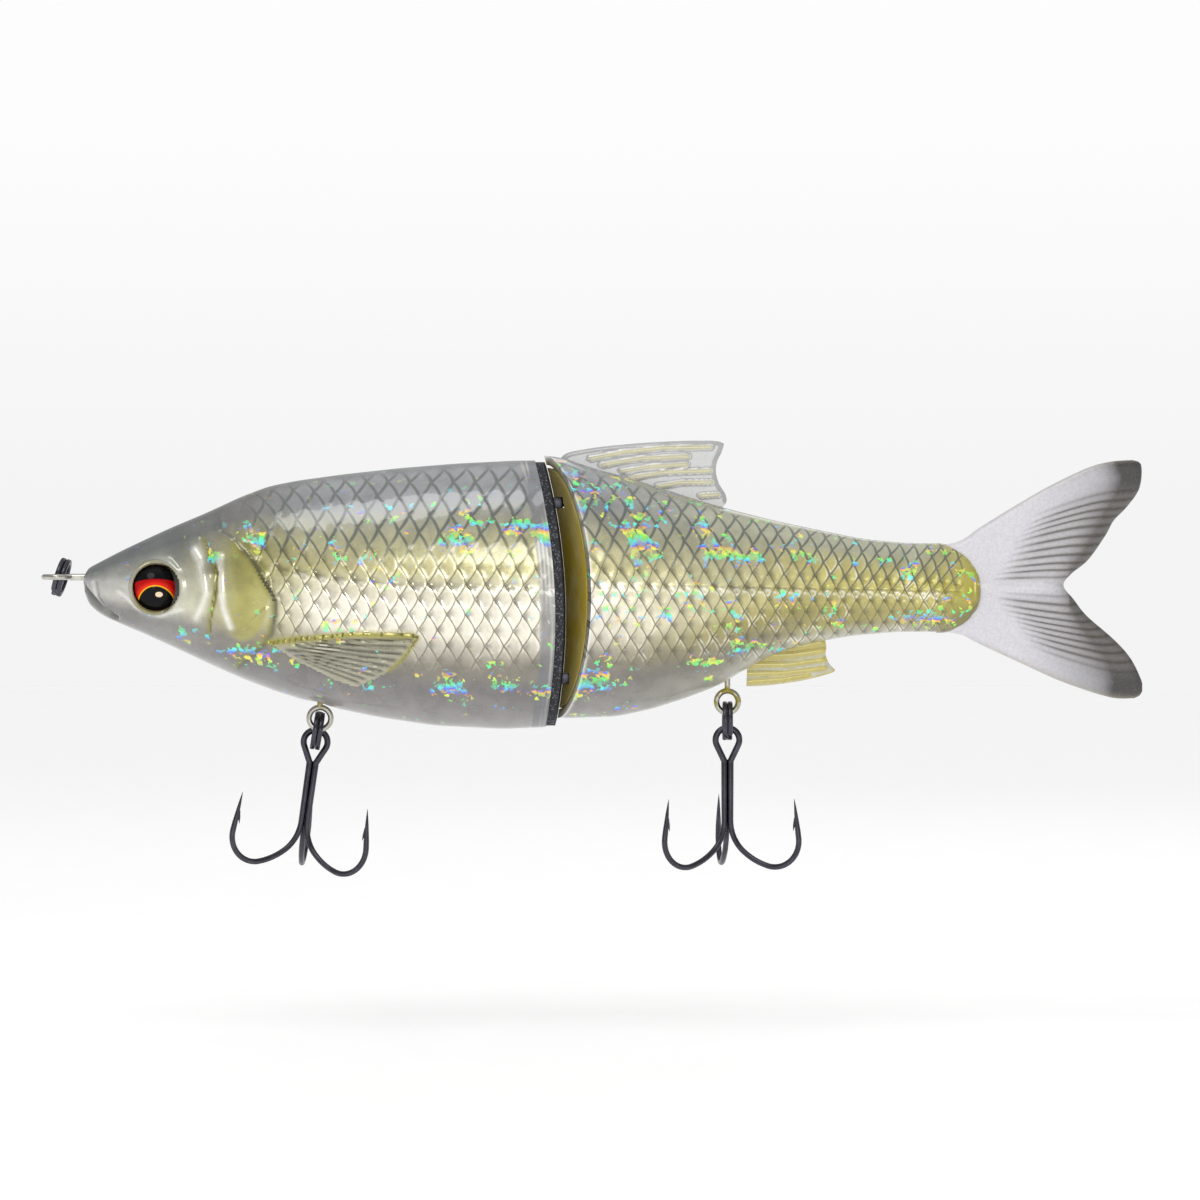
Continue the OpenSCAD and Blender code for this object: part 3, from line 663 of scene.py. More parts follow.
# painted glint: a near-white band just in front of each scale edge, where the cloud noise is high
beside_edge = sums(
    tree, "MULTIPLY", graded(tree, to_edge, 0.05, 0.09), graded(tree, to_edge, 0.24, 0.12)
)
painted_glint = sums(
    tree, "MULTIPLY", sums(tree, "MULTIPLY", beside_edge, scaled_part), graded(tree, cloud, 0.5, 0.78)
)
colour = blended(tree, painted_glint, colour, rgba("fffdf4"))
torn = add(tree, "TexNoise", {"Vector": place, "Scale": 1300.0, "Detail": 2.0}).outputs[1]
torn_place = add(
    tree, "VectorMath", {0: torn, 1: (0.0011, 0.0011, 0.0011), 2: place}, operation="MULTIPLY_ADD"
).outputs[0]
shreds = add(
    tree, "TexVoronoi", {"Vector": torn_place, "Scale": 1350.0, "Randomness": 1.0}, distance="CHEBYCHEV"
)
shred = add(tree, "SeparateColor", {0: shreds.outputs["Color"]})
patches = add(tree, "TexNoise", {"Vector": place, "Scale": 190.0, "Detail": 2.0}).outputs[0]
here = sums(tree, "MULTIPLY", fleck_share, graded(tree, patches, 0.48, 0.62))
shown = graded(tree, sums(tree, "SUBTRACT", here, shred.outputs[0]), -0.02, 0.03)
shown = sums(tree, "MULTIPLY", shown, graded(tree, shred.outputs[2], 0.0, 1.0, 0.45, 1.0))
up_the_side = add(tree, "SeparateXYZ", {0: place}).outputs[2]
bands = sums(tree, "MULTIPLY_ADD", up_the_side, -320.0, sums(tree, "MULTIPLY", shred.outputs[1], 0.3))
turn = sums(tree, "FRACT", sums(tree, "ADD", bands, sums(tree, "MULTIPLY", patches, 0.8)))
hue = sums(tree, "MULTIPLY_ADD", turn, 0.66, 0.03)
rainbow = add(tree, "CombineColor", {0: hue, 1: 0.88, 2: 1.0}, mode="HSV").outputs[0]
colour = blended(tree, sums(tree, "MULTIPLY", shown, 0.9), colour, rainbow)
tree.links.new(colour, shader.inputs["Base Color"])
tree.links.new(
    sums(
        tree, "MULTIPLY", metal_share, sums(tree, "SUBTRACT", 1.0, sums(tree, "MULTIPLY", shown, 0.9))
    ),
    shader.inputs["Metallic"]
)
tree.links.new(
    sums(tree, "MULTIPLY_ADD", metal_share, -0.14, graded(tree, cloud, 0.3, 0.75, 0.26, 0.42)),
    shader.inputs["Roughness"]
)
shader.inputs["Coat Weight"].default_value = 1.0
shader.inputs["Coat Roughness"].default_value = 0.04
shader.inputs["Coat IOR"].default_value = 1.5
crinkle = add(tree, "TexNoise", {"Vector": place, "Scale": 1500.0, "Detail": 2.0}).outputs[0]
height = sums(
    tree, "MULTIPLY_ADD", crinkle, sums(tree, "MULTIPLY_ADD", metal_share, 0.3, 0.08),
    sums(tree, "MULTIPLY", sums(tree, "MULTIPLY", edge_line, scaled_part), -0.5)
)
bump = add(tree, "Bump", {"Strength": 0.35, "Distance": 0.12 * mm, "Height": height})
tree.links.new(bump.outputs[0], shader.inputs["Normal"])

for side, hand in ((left, "left"), (right, "right")):
    for rear, section in ((False, "head"), (True, "rear")):
        half = shell_half(f"{section}_half_{hand}", side, rear, f"{section}_shell_{hand}")
        half.data.materials.append(shell_finish)

# ---- Foil, ballast and bulkheads --------------------------------------------------
# Creased holographic film lies against the inside of each shell, with a turned brass
# weight low in each section. A moulded amber bulkhead closes each section at the joint.
film_finish, tree, shader = new_finish("creased_film")
place = add(tree, "TexCoord").outputs["Object"]
crease = add(tree, "TexVoronoi", {"Vector": place, "Scale": 700.0}, feature="F1")
film_hue = add(tree, "SeparateColor", {0: crease.outputs["Color"]}).outputs[0]
film_colour = add(tree, "CombineColor", {0: film_hue, 1: 0.18, 2: 0.85}, mode="HSV").outputs[0]
tree.links.new(film_colour, shader.inputs["Base Color"])
tree.links.new(
    graded(tree, crease.outputs["Distance"], 0.0, 0.8, 0.15, 0.4), shader.inputs["Roughness"]
)
shader.inputs["Metallic"].default_value = 1.0
bump = add(tree, "Bump", {"Strength": 0.4, "Distance": 0.1 * mm, "Height": crease.outputs["Distance"]})
tree.links.new(bump.outputs[0], shader.inputs["Normal"])

brass_finish, tree, shader = new_finish("turned_brass")
place = add(tree, "TexCoord").outputs["Object"]
rings = add(
    tree, "TexWave", {"Vector": place, "Scale": 900.0, "Distortion": 0.6, "Detail": 1.0},
    bands_direction="X"
)
tree.links.new(
    blended(tree, rings.outputs[1], rgba("a98a48"), rgba("c6aa66")), shader.inputs["Base Color"]
)
tree.links.new(graded(tree, rings.outputs[1], 0.0, 1.0, 0.28, 0.42), shader.inputs["Roughness"])
shader.inputs["Metallic"].default_value = 1.0

amber_finish, tree, shader = new_finish("amber_moulding")
place = add(tree, "TexCoord").outputs["Object"]
upright = add(tree, "Mapping", {0: place, "Scale": (1.0, 1.0, 0.04)}).outputs[0]
lines = add(
    tree, "TexNoise", {"Vector": upright, "Scale": 2600.0, "Detail": 4.0, "Roughness": 0.7}
).outputs[0]
wash = add(tree, "TexNoise", {"Vector": place, "Scale": 120.0, "Detail": 3.0}).outputs[0]
height_up = add(tree, "SeparateXYZ", {0: place}).outputs[2]
towards_mid = sums(
    tree, "MULTIPLY", graded(tree, height_up, -0.024, -0.008), graded(tree, height_up, 0.016, 0.004)
)
amber = blended(tree, towards_mid, rgba("c9c08e"), rgba("dcc048"))
amber = blended(tree, graded(tree, lines, 0.35, 0.7), amber, rgba("bda43c"))
amber = blended(tree, graded(tree, wash, 0.45, 0.75), amber, rgba("e0d08a"))
tree.links.new(amber, shader.inputs["Base Color"])
tree.links.new(graded(tree, lines, 0.3, 0.7, 0.16, 0.34), shader.inputs["Roughness"])
shader.inputs["Coat Weight"].default_value = 0.6
shader.inputs["Coat Roughness"].default_value = 0.08
bump = add(tree, "Bump", {"Strength": 0.25, "Distance": 0.1 * mm, "Height": lines})
tree.links.new(bump.outputs[0], shader.inputs["Normal"])


def dress(node, finish):
    """Gives a carried-over part its finish."""
    nodes[node].data.materials.clear()
    nodes[node].data.materials.append(finish)


for hand in ("left", "right"):
    dress(f"head_foil_{hand}", film_finish)
    dress(f"rear_foil_{hand}", film_finish)
for node in ("head_weight", "rear_weight"):
    dress(node, brass_finish)
for node in ("head_bulkhead", "rear_bulkhead"):
    dress(node, amber_finish)

# ---- Joint pad and hinge ----------------------------------------------------------
# A slice of black closed-cell foam is glued to the head's rear face to deaden the
# knock. Two blackened steel eyes stand out through it, and one long pin joins them.
foam_finish, tree, shader = new_finish("black_foam")
place = add(tree, "TexCoord").outputs["Object"]
cells = add(tree, "TexVoronoi", {"Vector": place, "Scale": 4200.0}, feature="F1")
grain = add(tree, "SeparateColor", {0: cells.outputs["Color"]}).outputs[0]
tree.links.new(
    blended(tree, graded(tree, grain, 0.72, 1.0), rgba("222328"), rgba("6a6c74")),
    shader.inputs["Base Color"]
)
shader.inputs["Roughness"].default_value = 0.75
bump = add(tree, "Bump", {"Strength": 0.6, "Distance": 0.15 * mm, "Height": cells.outputs["Distance"]})
tree.links.new(bump.outputs[0], shader.inputs["Normal"])


def foam_pad():
    """The pad, glued to the head's face and crowned where the wedge presses it."""
    across, around = 26, 120
    bm, column, row, back_face = two_faced_sheet(across, around)
    share = (column / across).clip(0.001, 1)
    a = 2 * math.pi * row / around
    lean = np.where(a > math.pi, a - 2 * math.pi, a)
    fold = np.where(np.abs(lean) > math.pi / 2, np.sign(lean) * (math.pi - np.abs(lean)), lean)
    at = np.full(len(a), face_x)
    for _ in range(3):
        y, z = skin(at, fold, False, 0.3)
        y, z = y * np.where(
            np.abs(lean) > math.pi / 2, -1, 1
        ) * share, mid_line(at) + (z - mid_line(at)) * share
        at = joint_face(y, z)
    crown = 0.27 * hill(y, 2.0)
    edge = 0.12 * step(share, 0.95, 1)
    thick = np.where(back_face, pad_thick + crown - edge, 0)
    pad = put_in_place(bm, "foam_pad", np.stack([at + thick, y, z], -1))
    true_up(pad, 50, 0.02)
    pad.data.materials.append(foam_finish)
    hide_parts("joint_pad")
    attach(pad, "head_section")


foam_pad()


def wire_finish(name, body, worn, low, high):
    """A drawn wire's finish: its body colour, its rubbed colour and its roughness."""
    finish, tree, shader = new_finish(name)
    place = add(tree, "TexCoord").outputs["Object"]
    rub = add(
        tree, "TexNoise", {"Vector": place, "Scale": 420.0, "Detail": 6.0, "Roughness": 0.65}
    ).outputs[0]
    drawn = add(tree, "TexNoise", {"Vector": place, "Scale": 3800.0, "Detail": 2.0}).outputs[0]
    tree.links.new(
        blended(tree, graded(tree, rub, 0.42, 0.72), rgba(body), rgba(worn)),
        shader.inputs["Base Color"]
    )
    tree.links.new(graded(tree, rub, 0.3, 0.7, low, high), shader.inputs["Roughness"])
    shader.inputs["Metallic"].default_value = 1.0
    bump = add(tree, "Bump", {"Strength": 0.12, "Distance": 0.03 * mm, "Height": drawn})
    tree.links.new(bump.outputs[0], shader.inputs["Normal"])
    return finish


nickel_finish = wire_finish("black_nickel", "47464d", "56555e", 0.24, 0.34)
steel_finish = wire_finish("bright_steel", "b9b6ae", "d6d3ca", 0.14, 0.3)
pin_finish = wire_finish("ground_pin", "a9a9ab", "c4c4c4", 0.12, 0.24)
for node in ("upper_hinge_eye", "lower_hinge_eye"):
    dress(node, nickel_finish)
dress("hinge_pin", pin_finish)
dress("tail_pin", pin_finish)

for hand, z in (("upper", 13), ("lower", -17.7)):
    collar = bmesh.new()
    front = wedge_x - 0.9 - (z - face_z) ** 2 / (2 * face_r)
    block = Matrix.Translation((front + 1.1, 0, z)) @ Matrix.Diagonal((2.4, 1.7, 1.88, 1))
    bmesh.ops.create_cube(collar, size=1, matrix=block)
    bmesh.ops.bevel(
        collar, geom=collar.edges[:], offset=0.12, segments=3, affect="EDGES", profile=0.5, material=-1
    )
    mesh = bpy.data.meshes.new(f"{hand}_hinge_collar")
    bmesh.ops.scale(collar, vec=(mm, mm, mm), verts=collar.verts)
    collar.to_mesh(mesh)
    collar.free()
    mesh.shade_smooth()
    mesh.materials.append(nickel_finish)
    sleeve = bpy.data.objects.new(mesh.name, mesh)
    bpy.context.scene.collection.objects.link(sleeve)
    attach(sleeve, "head_section")

# ---- Eyes ---------------------------------------------------------------------------
# Each eye is a printed disc pressed into a socket, under a poured clear dome with a
# rolled plastic rim. The print is a black pupil in a red and gold iris.
eye_turn = math.radians(14)
eye_depth, iris_t, dome_h = 1.3, 0.6, 2.1
iris_finish, tree, shader = new_finish("eye_print")
place = add(tree, "TexCoord").outputs["Object"]
ink = add(tree, "TexNoise", {"Vector": place, "Scale": 800.0, "Detail": 3.0}).outputs[0]
tree.links.new(
    blended(tree, graded(tree, ink, 0.3, 0.7), rgba("8e1016"), rgba("b8161c")),
    shader.inputs["Base Color"]
)
shader.inputs["Roughness"].default_value = 0.35
dress("eye_iris_left", iris_finish)
dress("eye_iris_right", iris_finish)

dome_finish, tree, shader = new_finish("clear_domed_print")
place = add(tree, "TexCoord").outputs["Object"]
centred = add(tree, "Mapping", {
    0: place,
    "Location": (-eye_at[0] / (eye_r * 0.97), 0, -eye_at[1] / eye_r),
    "Scale": (1 / (eye_r * 0.97 * mm), 1, 1 / (eye_r * mm)),
}).outputs[0]
eye_place = add(tree, "SeparateXYZ", {0: centred})
ex, ez = eye_place.outputs[0], eye_place.outputs[2]


def ring_from(tree, ex, ez, x, z):
    """The distance across the print from a point on it."""
    dx, dz = sums(tree, "SUBTRACT", ex, x), sums(tree, "SUBTRACT", ez, z)
    return sums(
        tree, "SQRT", sums(tree, "ADD", sums(tree, "MULTIPLY", dx, dx), sums(tree, "MULTIPLY", dz, dz))
    )


from_middle = ring_from(tree, ex, ez, 0, 0)
from_pupil = ring_from(tree, ex, ez, 0.0, -0.73)
lid = sums(tree, "ADD", ez, sums(tree, "MULTIPLY", sums(tree, "MULTIPLY", ex, ex), 0.16))
red = blended(tree, graded(tree, from_pupil, 0.84, 1.1), rgba("e8301c"), rgba("b00d12"))
eye_colour = blended(tree, graded(tree, lid, 0.34, 0.4), red, rgba("0e0d0f"))
eye_colour = blended(tree, graded(tree, from_pupil, 0.845, 0.83), eye_colour, rgba("f0b21c"))
eye_colour = blended(tree, graded(tree, from_pupil, 0.79, 0.77), eye_colour, rgba("0b0b0d"))
glint = ring_from(tree, sums(tree, "MULTIPLY", ex, 0.72), ez, 0.11, -0.3)
eye_colour = blended(tree, graded(tree, glint, 0.13, 0.1), eye_colour, rgba("f6ddba"))
eye_colour = blended(tree, graded(tree, from_middle, 0.9, 0.97), eye_colour, rgba("1a120c"))
tree.links.new(eye_colour, shader.inputs["Base Color"])
mottled = add(tree, "TexNoise", {"Vector": place, "Scale": 500.0}).outputs[0]
tree.links.new(graded(tree, mottled, 0.3, 0.7, 0.24, 0.32), shader.inputs["Roughness"])
shader.inputs["Specular IOR Level"].default_value = 0.0
shader.inputs["Coat Weight"].default_value = 0.3
shader.inputs["Coat Roughness"].default_value = 0.01

rim_finish, tree, shader = new_finish("rolled_rim")
place = add(tree, "TexCoord").outputs["Object"]
wash = add(tree, "TexNoise", {"Vector": place, "Scale": 300.0, "Detail": 3.0}).outputs[0]
tree.links.new(
    blended(tree, graded(tree, wash, 0.35, 0.65), rgba("a8a694"), rgba("8a8250")),
    shader.inputs["Base Color"]
)
tree.links.new(graded(tree, wash, 0.3, 0.7, 0.2, 0.32), shader.inputs["Roughness"])
shader.inputs["Metallic"].default_value = 0.35
shader.inputs["Coat Weight"].default_value = 1.0
shader.inputs["Coat Roughness"].default_value = 0.04


def eye_frame(side):
    """The eye's own frame, with Z out of the cheek, in metres."""
    y = side * float(width_line(eye_at[0])) * 0.985
    turn = Matrix.Rotation(-side * eye_turn, 4, "Z") @ Matrix.Rotation(-side * math.pi / 2, 4, "X")
    return Matrix.Translation(Vector((eye_at[0], y, eye_at[1])) * mm) @ turn


def turned(name, profile, closed, frame_at, steps=72):
    """A piece turned from a profile of radii and heights about its own Z."""
    bm = bmesh.new()
    verts = [bm.verts.new((r * mm, 0, z * mm)) for r, z in profile]
    pairs = zip(verts, verts[1:] + (verts[:1] if closed else []))
    edges = [bm.edges.new(pair) for pair in pairs]
    bmesh.ops.spin(
        bm, geom=verts + edges, cent=(0, 0, 0), axis=(0, 0, 1), angle=2 * math.pi, steps=steps,
        use_merge=True
    )
    bmesh.ops.transform(bm, matrix=frame_at, verts=bm.verts)
    mesh = bpy.data.meshes.new(name)
    bm.to_mesh(mesh)
    bm.free()
    piece = bpy.data.objects.new(name, mesh)
    bpy.context.scene.collection.objects.link(piece)
    true_up(piece)
    return piece


dome_r = (eye_r**2 + dome_h**2) / (2 * dome_h)
for side, hand in ((left, "left"), (right, "right")):
    base = iris_t - eye_depth
    spread = math.asin((eye_r - 0.02) / dome_r)
    arc = [
        (
            dome_r * math.sin(spread * k / 16),
            base + dome_h - dome_r + dome_r * math.cos(spread * k / 16)
        )
        for k in range(17)
    ]
    profile = [(0, base)] + [(eye_r - 0.02, base)] + arc[::-1]
    dome = turned(f"eye_dome_{hand}", profile, False, eye_frame(side))
    dome.data.materials.append(dome_finish)
    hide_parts(f"eye_lens_{hand}")
    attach(dome, "head_section")
    bead = [
        (4.42 + 0.42 * math.cos(k * math.pi / 6), -0.42 + 0.62 * math.sin(k * math.pi / 6))
        for k in range(12)
    ]
    rim = turned(f"eye_rim_{hand}", bead, True, eye_frame(side))
    rim.data.materials.append(rim_finish)
    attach(rim, "head_section")

# ---- Line tie and hook hangers ---------------------------------------------------------
# Three eyes bent from bright steel wire are moulded into the shells: one lying flat
# at the nose and two standing under the belly. The hangers carry some yellow paint.
dress("line_tie", steel_finish)
hanger_finish, tree, shader = new_finish("hanger_wire")
place = add(tree, "TexCoord").outputs["Object"]
mist = add(tree, "TexNoise", {"Vector": place, "Scale": 520.0, "Detail": 3.0}).outputs[0]
low_down = add(tree, "SeparateXYZ", {0: place}).outputs[2]
sprayed = sums(
    tree, "MULTIPLY", graded(tree, mist, 0.45, 0.55), graded(tree, low_down, -0.0238, -0.0215)
)
tree.links.new(blended(tree, sprayed, rgba("b5b2a8"), rgba("8f8428")), shader.inputs["Base Color"])
tree.links.new(
    sums(tree, "SUBTRACT", 1.0, sums(tree, "MULTIPLY", sprayed, 0.8)), shader.inputs["Metallic"]
)
tree.links.new(graded(tree, mist, 0.3, 0.7, 0.16, 0.3), shader.inputs["Roughness"])
dress("front_hanger", hanger_finish)
dress("rear_hanger", hanger_finish)

# ---- Back and belly fins ------------------------------------------------------------------
# Two thin fins of clear plastic, moulded with raised rays and gripped in slots between
# the rear shells. The rays are picked out in pale yellow, stronger on the belly fin.


def flowing(points):
    """The drawn edge with its corners eased into curves that pass through its points."""
    p = np.array([points[0], *points, points[-1]], float)
    t = np.linspace(0, 1, 7)[:-1, None]
    runs = [
        0.5 * (2 * p[k] + (p[k + 1] - p[k - 1]) * t
               + (2 * p[k - 1] - 5 * p[k] + 4 * p[k + 1] - p[k + 2]) * t**2
               + (3 * p[k] - p[k - 1] - 3 * p[k + 1] + p[k + 2]) * t**3)
        for k in range(1, len(p) - 2)
    ]
    return [tuple(place) for place in np.concatenate([*runs, p[-1:]])]


def along_edge(points, share):
    """Places at equal shares of the way along a drawn edge."""
    points = np.array(flowing(points), float)
    length = np.concatenate([[0], np.cumsum(np.hypot(*np.diff(points, axis=0).T))])
    return np.stack([np.interp(share * length[-1], length, points[:, k]) for k in (0, 1)], -1)


def stretched(bottom, top, start, finish, columns, rows):
    """A grid stretched between four edges, as rows of places in the middle plane."""
    s = np.linspace(0, 1, columns + 1)
    t = np.linspace(0, 1, rows + 1)
    b, u = along_edge(bottom, s)[:, None], along_edge(top, s)[:, None]
    l, r = along_edge(start, t)[None], along_edge(finish, t)[None]
    s, t = s[:, None, None], t[None, :, None]
    corners = (1 - s) * (1 - t) * b[0] + s * (1 - t) * b[-1] + (1 - s) * t * u[0] + s * t * u[-1]
    return (1 - t) * b + t * u + (1 - s) * l + s * r - corners


def fin_sheet(name, edges, columns, rows, thickness, colour):
    """A fin with its thickness and colour given by functions of place."""
    grid = stretched(*edges, columns, rows)
    x, z = grid[..., 0], grid[..., 1]
    s, t = np.meshgrid(np.linspace(0, 1, columns + 1), np.linspace(0, 1, rows + 1), indexing="ij")
    half = thickness(x, z, s, t) / 2
    x = np.minimum(x, cad_high.x / mm)
    z = np.clip(z, -50, cad_high.z / mm)
    bm, column, row, back_face = two_faced_sheet(columns, rows)
    y = np.where(back_face, 1, -1) * half[column, row]
    piece = put_in_place(bm, name, np.stack([x[column, row], y, z[column, row]], -1))
    colour_layer(piece, "paint", colour(x, z, s, t)[column, row])
    true_up(piece, 60, 0.002)
    return piece


def rounded_rim(x, z, outline, reach):
    """Falls from 1 to 0 over the last part of the way to the edge."""
    edge = near_line(x, z, outline)[0]
    return np.sqrt(np.clip(1 - (1 - np.minimum(edge / reach, 1)) ** 2, 0.02, 1))


def raised_rays(x, z, rays, reach):
    """How much of each place is covered by a moulded ray."""
    most = np.zeros(x.shape)
    for ray in rays:
        away = near_line(x, z, ray)[0]
        most = np.maximum(most, np.sqrt(np.clip(1 - (away / reach) ** 2, 0, 1)))
    return most


back_fin_edges = (
    [(113, 10.6), (116.4, 12.2), (117.2, 13.5)],
    [
        (87.5, 19.9), (89, 21.6), (92.5, 22.4), (97, 23), (104.3, 23.6), (111.5, 23.9), (115.6, 23.8),
        (116.7, 23.3)
    ],
    [(113, 10.6), (105, 13.2), (98, 15.6), (97.5, 17.1), (92, 18.6), (87.5, 19.9)],
    [
        (117.2, 13.5), (116.9, 14.6), (115.8, 16.4), (115.3, 18.4), (115.5, 20.2), (116.3, 21.9),
        (116.7, 23.3)
    ],
)
back_fin_rays = [
    [(93.4, 20.7), (99, 21.8), (106, 22.6), (114.3, 22.7)], [(95.4, 19.6), (102, 20.7), (110.4, 21.1)],
    [(98.9, 18.5), (104, 19.3), (110.2, 19.7)], [(100.3, 17.3), (106, 18.3), (114.2, 18.6)],
    [(105.2, 15.9), (109, 16.5), (114.5, 16.6)], [(112.6, 14.2), (115.6, 14.4)],
]
belly_fin_edges = (
    [(120.6, -19.1), (124, -18.95), (129, -18.35), (132.6, -17.6), (135.7, -16.7), (136.1, -16.2)],
    [(120.8, -13.6), (127, -10.5), (134, -9.2)],
    [(120.6, -19.1), (120.8, -13.6)],
    [(136.1, -16.2), (135.1, -15.1), (134.5, -13.6), (134.6, -12), (134, -9.2)],
)
belly_fin_rays = [
    [(121, -18.3), (127, -17.9), (131.4, -17.2)], [(120.5, -16.9), (127, -16.8), (134.3, -15.9)],
    [(121.6, -15.4), (128, -15.3), (134.4, -14.4)], [(123.5, -13.9), (129, -13.6), (134, -12.9)],
    [(126, -12.4), (130, -12.2), (134, -11.4)],
]


def back_fin_thickness(x, z, s, t):
    rim = flowing(back_fin_edges[1]) + flowing(back_fin_edges[3])[::-1]
    return (
        1.15 * rounded_rim(x, z, rim, 0.9) + 0.5 * raised_rays(x, z, back_fin_rays, 0.55)
    ).clip(0.08, 1.78)


def back_fin_colour(x, z, s, t):
    ray = raised_rays(x, z, back_fin_rays, 0.42)[..., None]
    # painted highlight in white along the flanks of the back fin's raised rays
    edge = hill(raised_rays(x, z, back_fin_rays, 0.52) - 0.4, 0.28)[..., None]
    colour = srgb("a0a09f") * (1 - ray) + srgb("c9c49a") * ray
    return colour * (1 - 0.85 * edge) + srgb("ffffff") * 0.85 * edge


def belly_fin_thickness(x, z, s, t):
    rim = flowing(belly_fin_edges[0]) + flowing(belly_fin_edges[3])
    return (
        1.1 * rounded_rim(x, z, rim, 0.8) + 0.5 * raised_rays(x, z, belly_fin_rays, 0.6)
    ).clip(0.08, 1.78)


def belly_fin_colour(x, z, s, t):
    ray = raised_rays(x, z, belly_fin_rays, 0.62)
    yellow = np.maximum(ray * 0.85, step(t, 0.35, 0.6) * 0.75)
    lower = hill(near_line(x, z, belly_fin_edges[0])[0], 0.35)
    yellow = np.maximum(yellow, lower * 0.8)[..., None]
    return srgb("c9c8b8") * (1 - yellow) + srgb("c2b120") * yellow


def fin_finish(name, roughness, seen_through):
    """Clear tinted plastic, slightly cloudy, with its tint from the piece."""
    finish, tree, shader = new_finish(name)
    place = add(tree, "TexCoord").outputs["Object"]
    cloud = add(tree, "TexNoise", {"Vector": place, "Scale": 350.0, "Detail": 4.0}).outputs[0]
    tone = graded(tree, cloud, 0.3, 0.7, 0.93, 1.05)
    tint = add(tree, "Attribute", attribute_name="paint").outputs["Color"]
    mixed = blended(
        tree, 1.0, tint, add(tree, "CombineColor", {0: tone, 1: tone, 2: tone}).outputs[0], "MULTIPLY"
    )
    tree.links.new(mixed, shader.inputs["Base Color"])
    tree.links.new(
        graded(tree, cloud, 0.3, 0.7, roughness, roughness + 0.12), shader.inputs["Roughness"]
    )
    shader.inputs["Transmission Weight"].default_value = seen_through
    shader.inputs["Coat Weight"].default_value = 1.0
    shader.inputs["Coat Roughness"].default_value = 0.05
    bump = add(tree, "Bump", {"Strength": 0.15, "Distance": 0.08 * mm, "Height": cloud})
    tree.links.new(bump.outputs[0], shader.inputs["Normal"])
    return finish


fine = 2
back_fin = fin_sheet(
    "back_fin", back_fin_edges, 70 * fine, 40 * fine, back_fin_thickness, back_fin_colour
)
back_fin.data.materials.append(fin_finish("clear_fin_plastic", 0.2, 0.08))
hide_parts("dorsal_fin")
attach(back_fin, "rear_section")
belly_fin = fin_sheet(
    "belly_fin", belly_fin_edges, 50 * fine, 30 * fine, belly_fin_thickness, belly_fin_colour
)
belly_fin.data.materials.append(fin_finish("amber_fin_plastic", 0.2, 0.1))
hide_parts("anal_fin")
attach(belly_fin, "rear_section")

# ---- Tail ---------------------------------------------------------------------------------
# A forked tail cast in one piece from soft pearl rubber. Its root is pinned between the
# rear shells. The rays are cast in and darkened by hand.
tail_edges = (
    [
        (149.2, -9.3), (157.3, -9.9), (161.4, -11.7), (169.8, -15.6), (176.1, -18.4), (184.1, -21),
        (188.4, -21.2)
    ],
    [
        (149.2, 5.6), (157, 6), (161.5, 8.7), (166, 11.5), (173, 15.6), (180, 19), (184.2, 20.2),
        (188.2, 20.5)
    ],
    [(149.2, -9.3), (149.2, 5.6)],
    [(188.4, -21.2), (189.6, -20.5), (189.9, -18.6), (187.9, -14.3), (184.8, -10.8), (180.2, -6.8),
     (177.9, -3.9), (176.1, -1.5), (177.4, 0.5), (180.4, 3), (183.4, 7.2), (184.9, 9.9), (187.2, 12.3),
     (189.4, 15.6),
     (189.7, 19.6), (188.2, 20.5)],
)
tail_rim = flowing(tail_edges[0]) + flowing(tail_edges[3]) + flowing(tail_edges[1])[::-1]
rays_across = 27
spindle_from, spindle_to, spindle_z = 161, 176.5, -1.9


def tail_rays(s, t):
    """The cast rays: 1 on a ray's crest and 0 in the groove beside it."""
    return 1 - hill((rays_across * (t + 0.006 * np.sin(9 * s)) + 0.5) % 1 - 0.5, 0.2)


def tail_reach(s, t):
    """Where the rays are: the outer part of both lobes, but not their leading edges."""
    lobe = step(t, 0.06, 0.16) * (1 - step(t, 0.84, 0.93)) * (1 - hill(t - 0.47, 0.04))
    return lobe * step(s, 0.48, 0.7)


def spindle(x, z):
    share = np.clip((x - spindle_from) / (spindle_to - spindle_from), 0, 1)
    reach = 0.3 + 1.5 * np.sin(np.pi * share**0.8)
    return np.clip(1 - ((z - spindle_z) / reach) ** 2, 0, 1) * (x > spindle_from) * (x < spindle_to)


def tail_thickness(x, z, s, t):
    plain = np.interp(x, [149.2, 161.5, 163.5, 190], [2.6, 2.6, 2.5, 0.95])
    rim = rounded_rim(x, z, tail_rim, 1.3)
    cast = 0.3 * tail_rays(s, t) * tail_reach(s, t) + 0.5 * np.sqrt(spindle(x, z)) * step(x, 161, 164)
    most = np.interp(x, [149.2, 163.5, 192], [2.66, 2.86, 1.2])
    return np.minimum(plain * rim + cast * rim, most).clip(0.1)


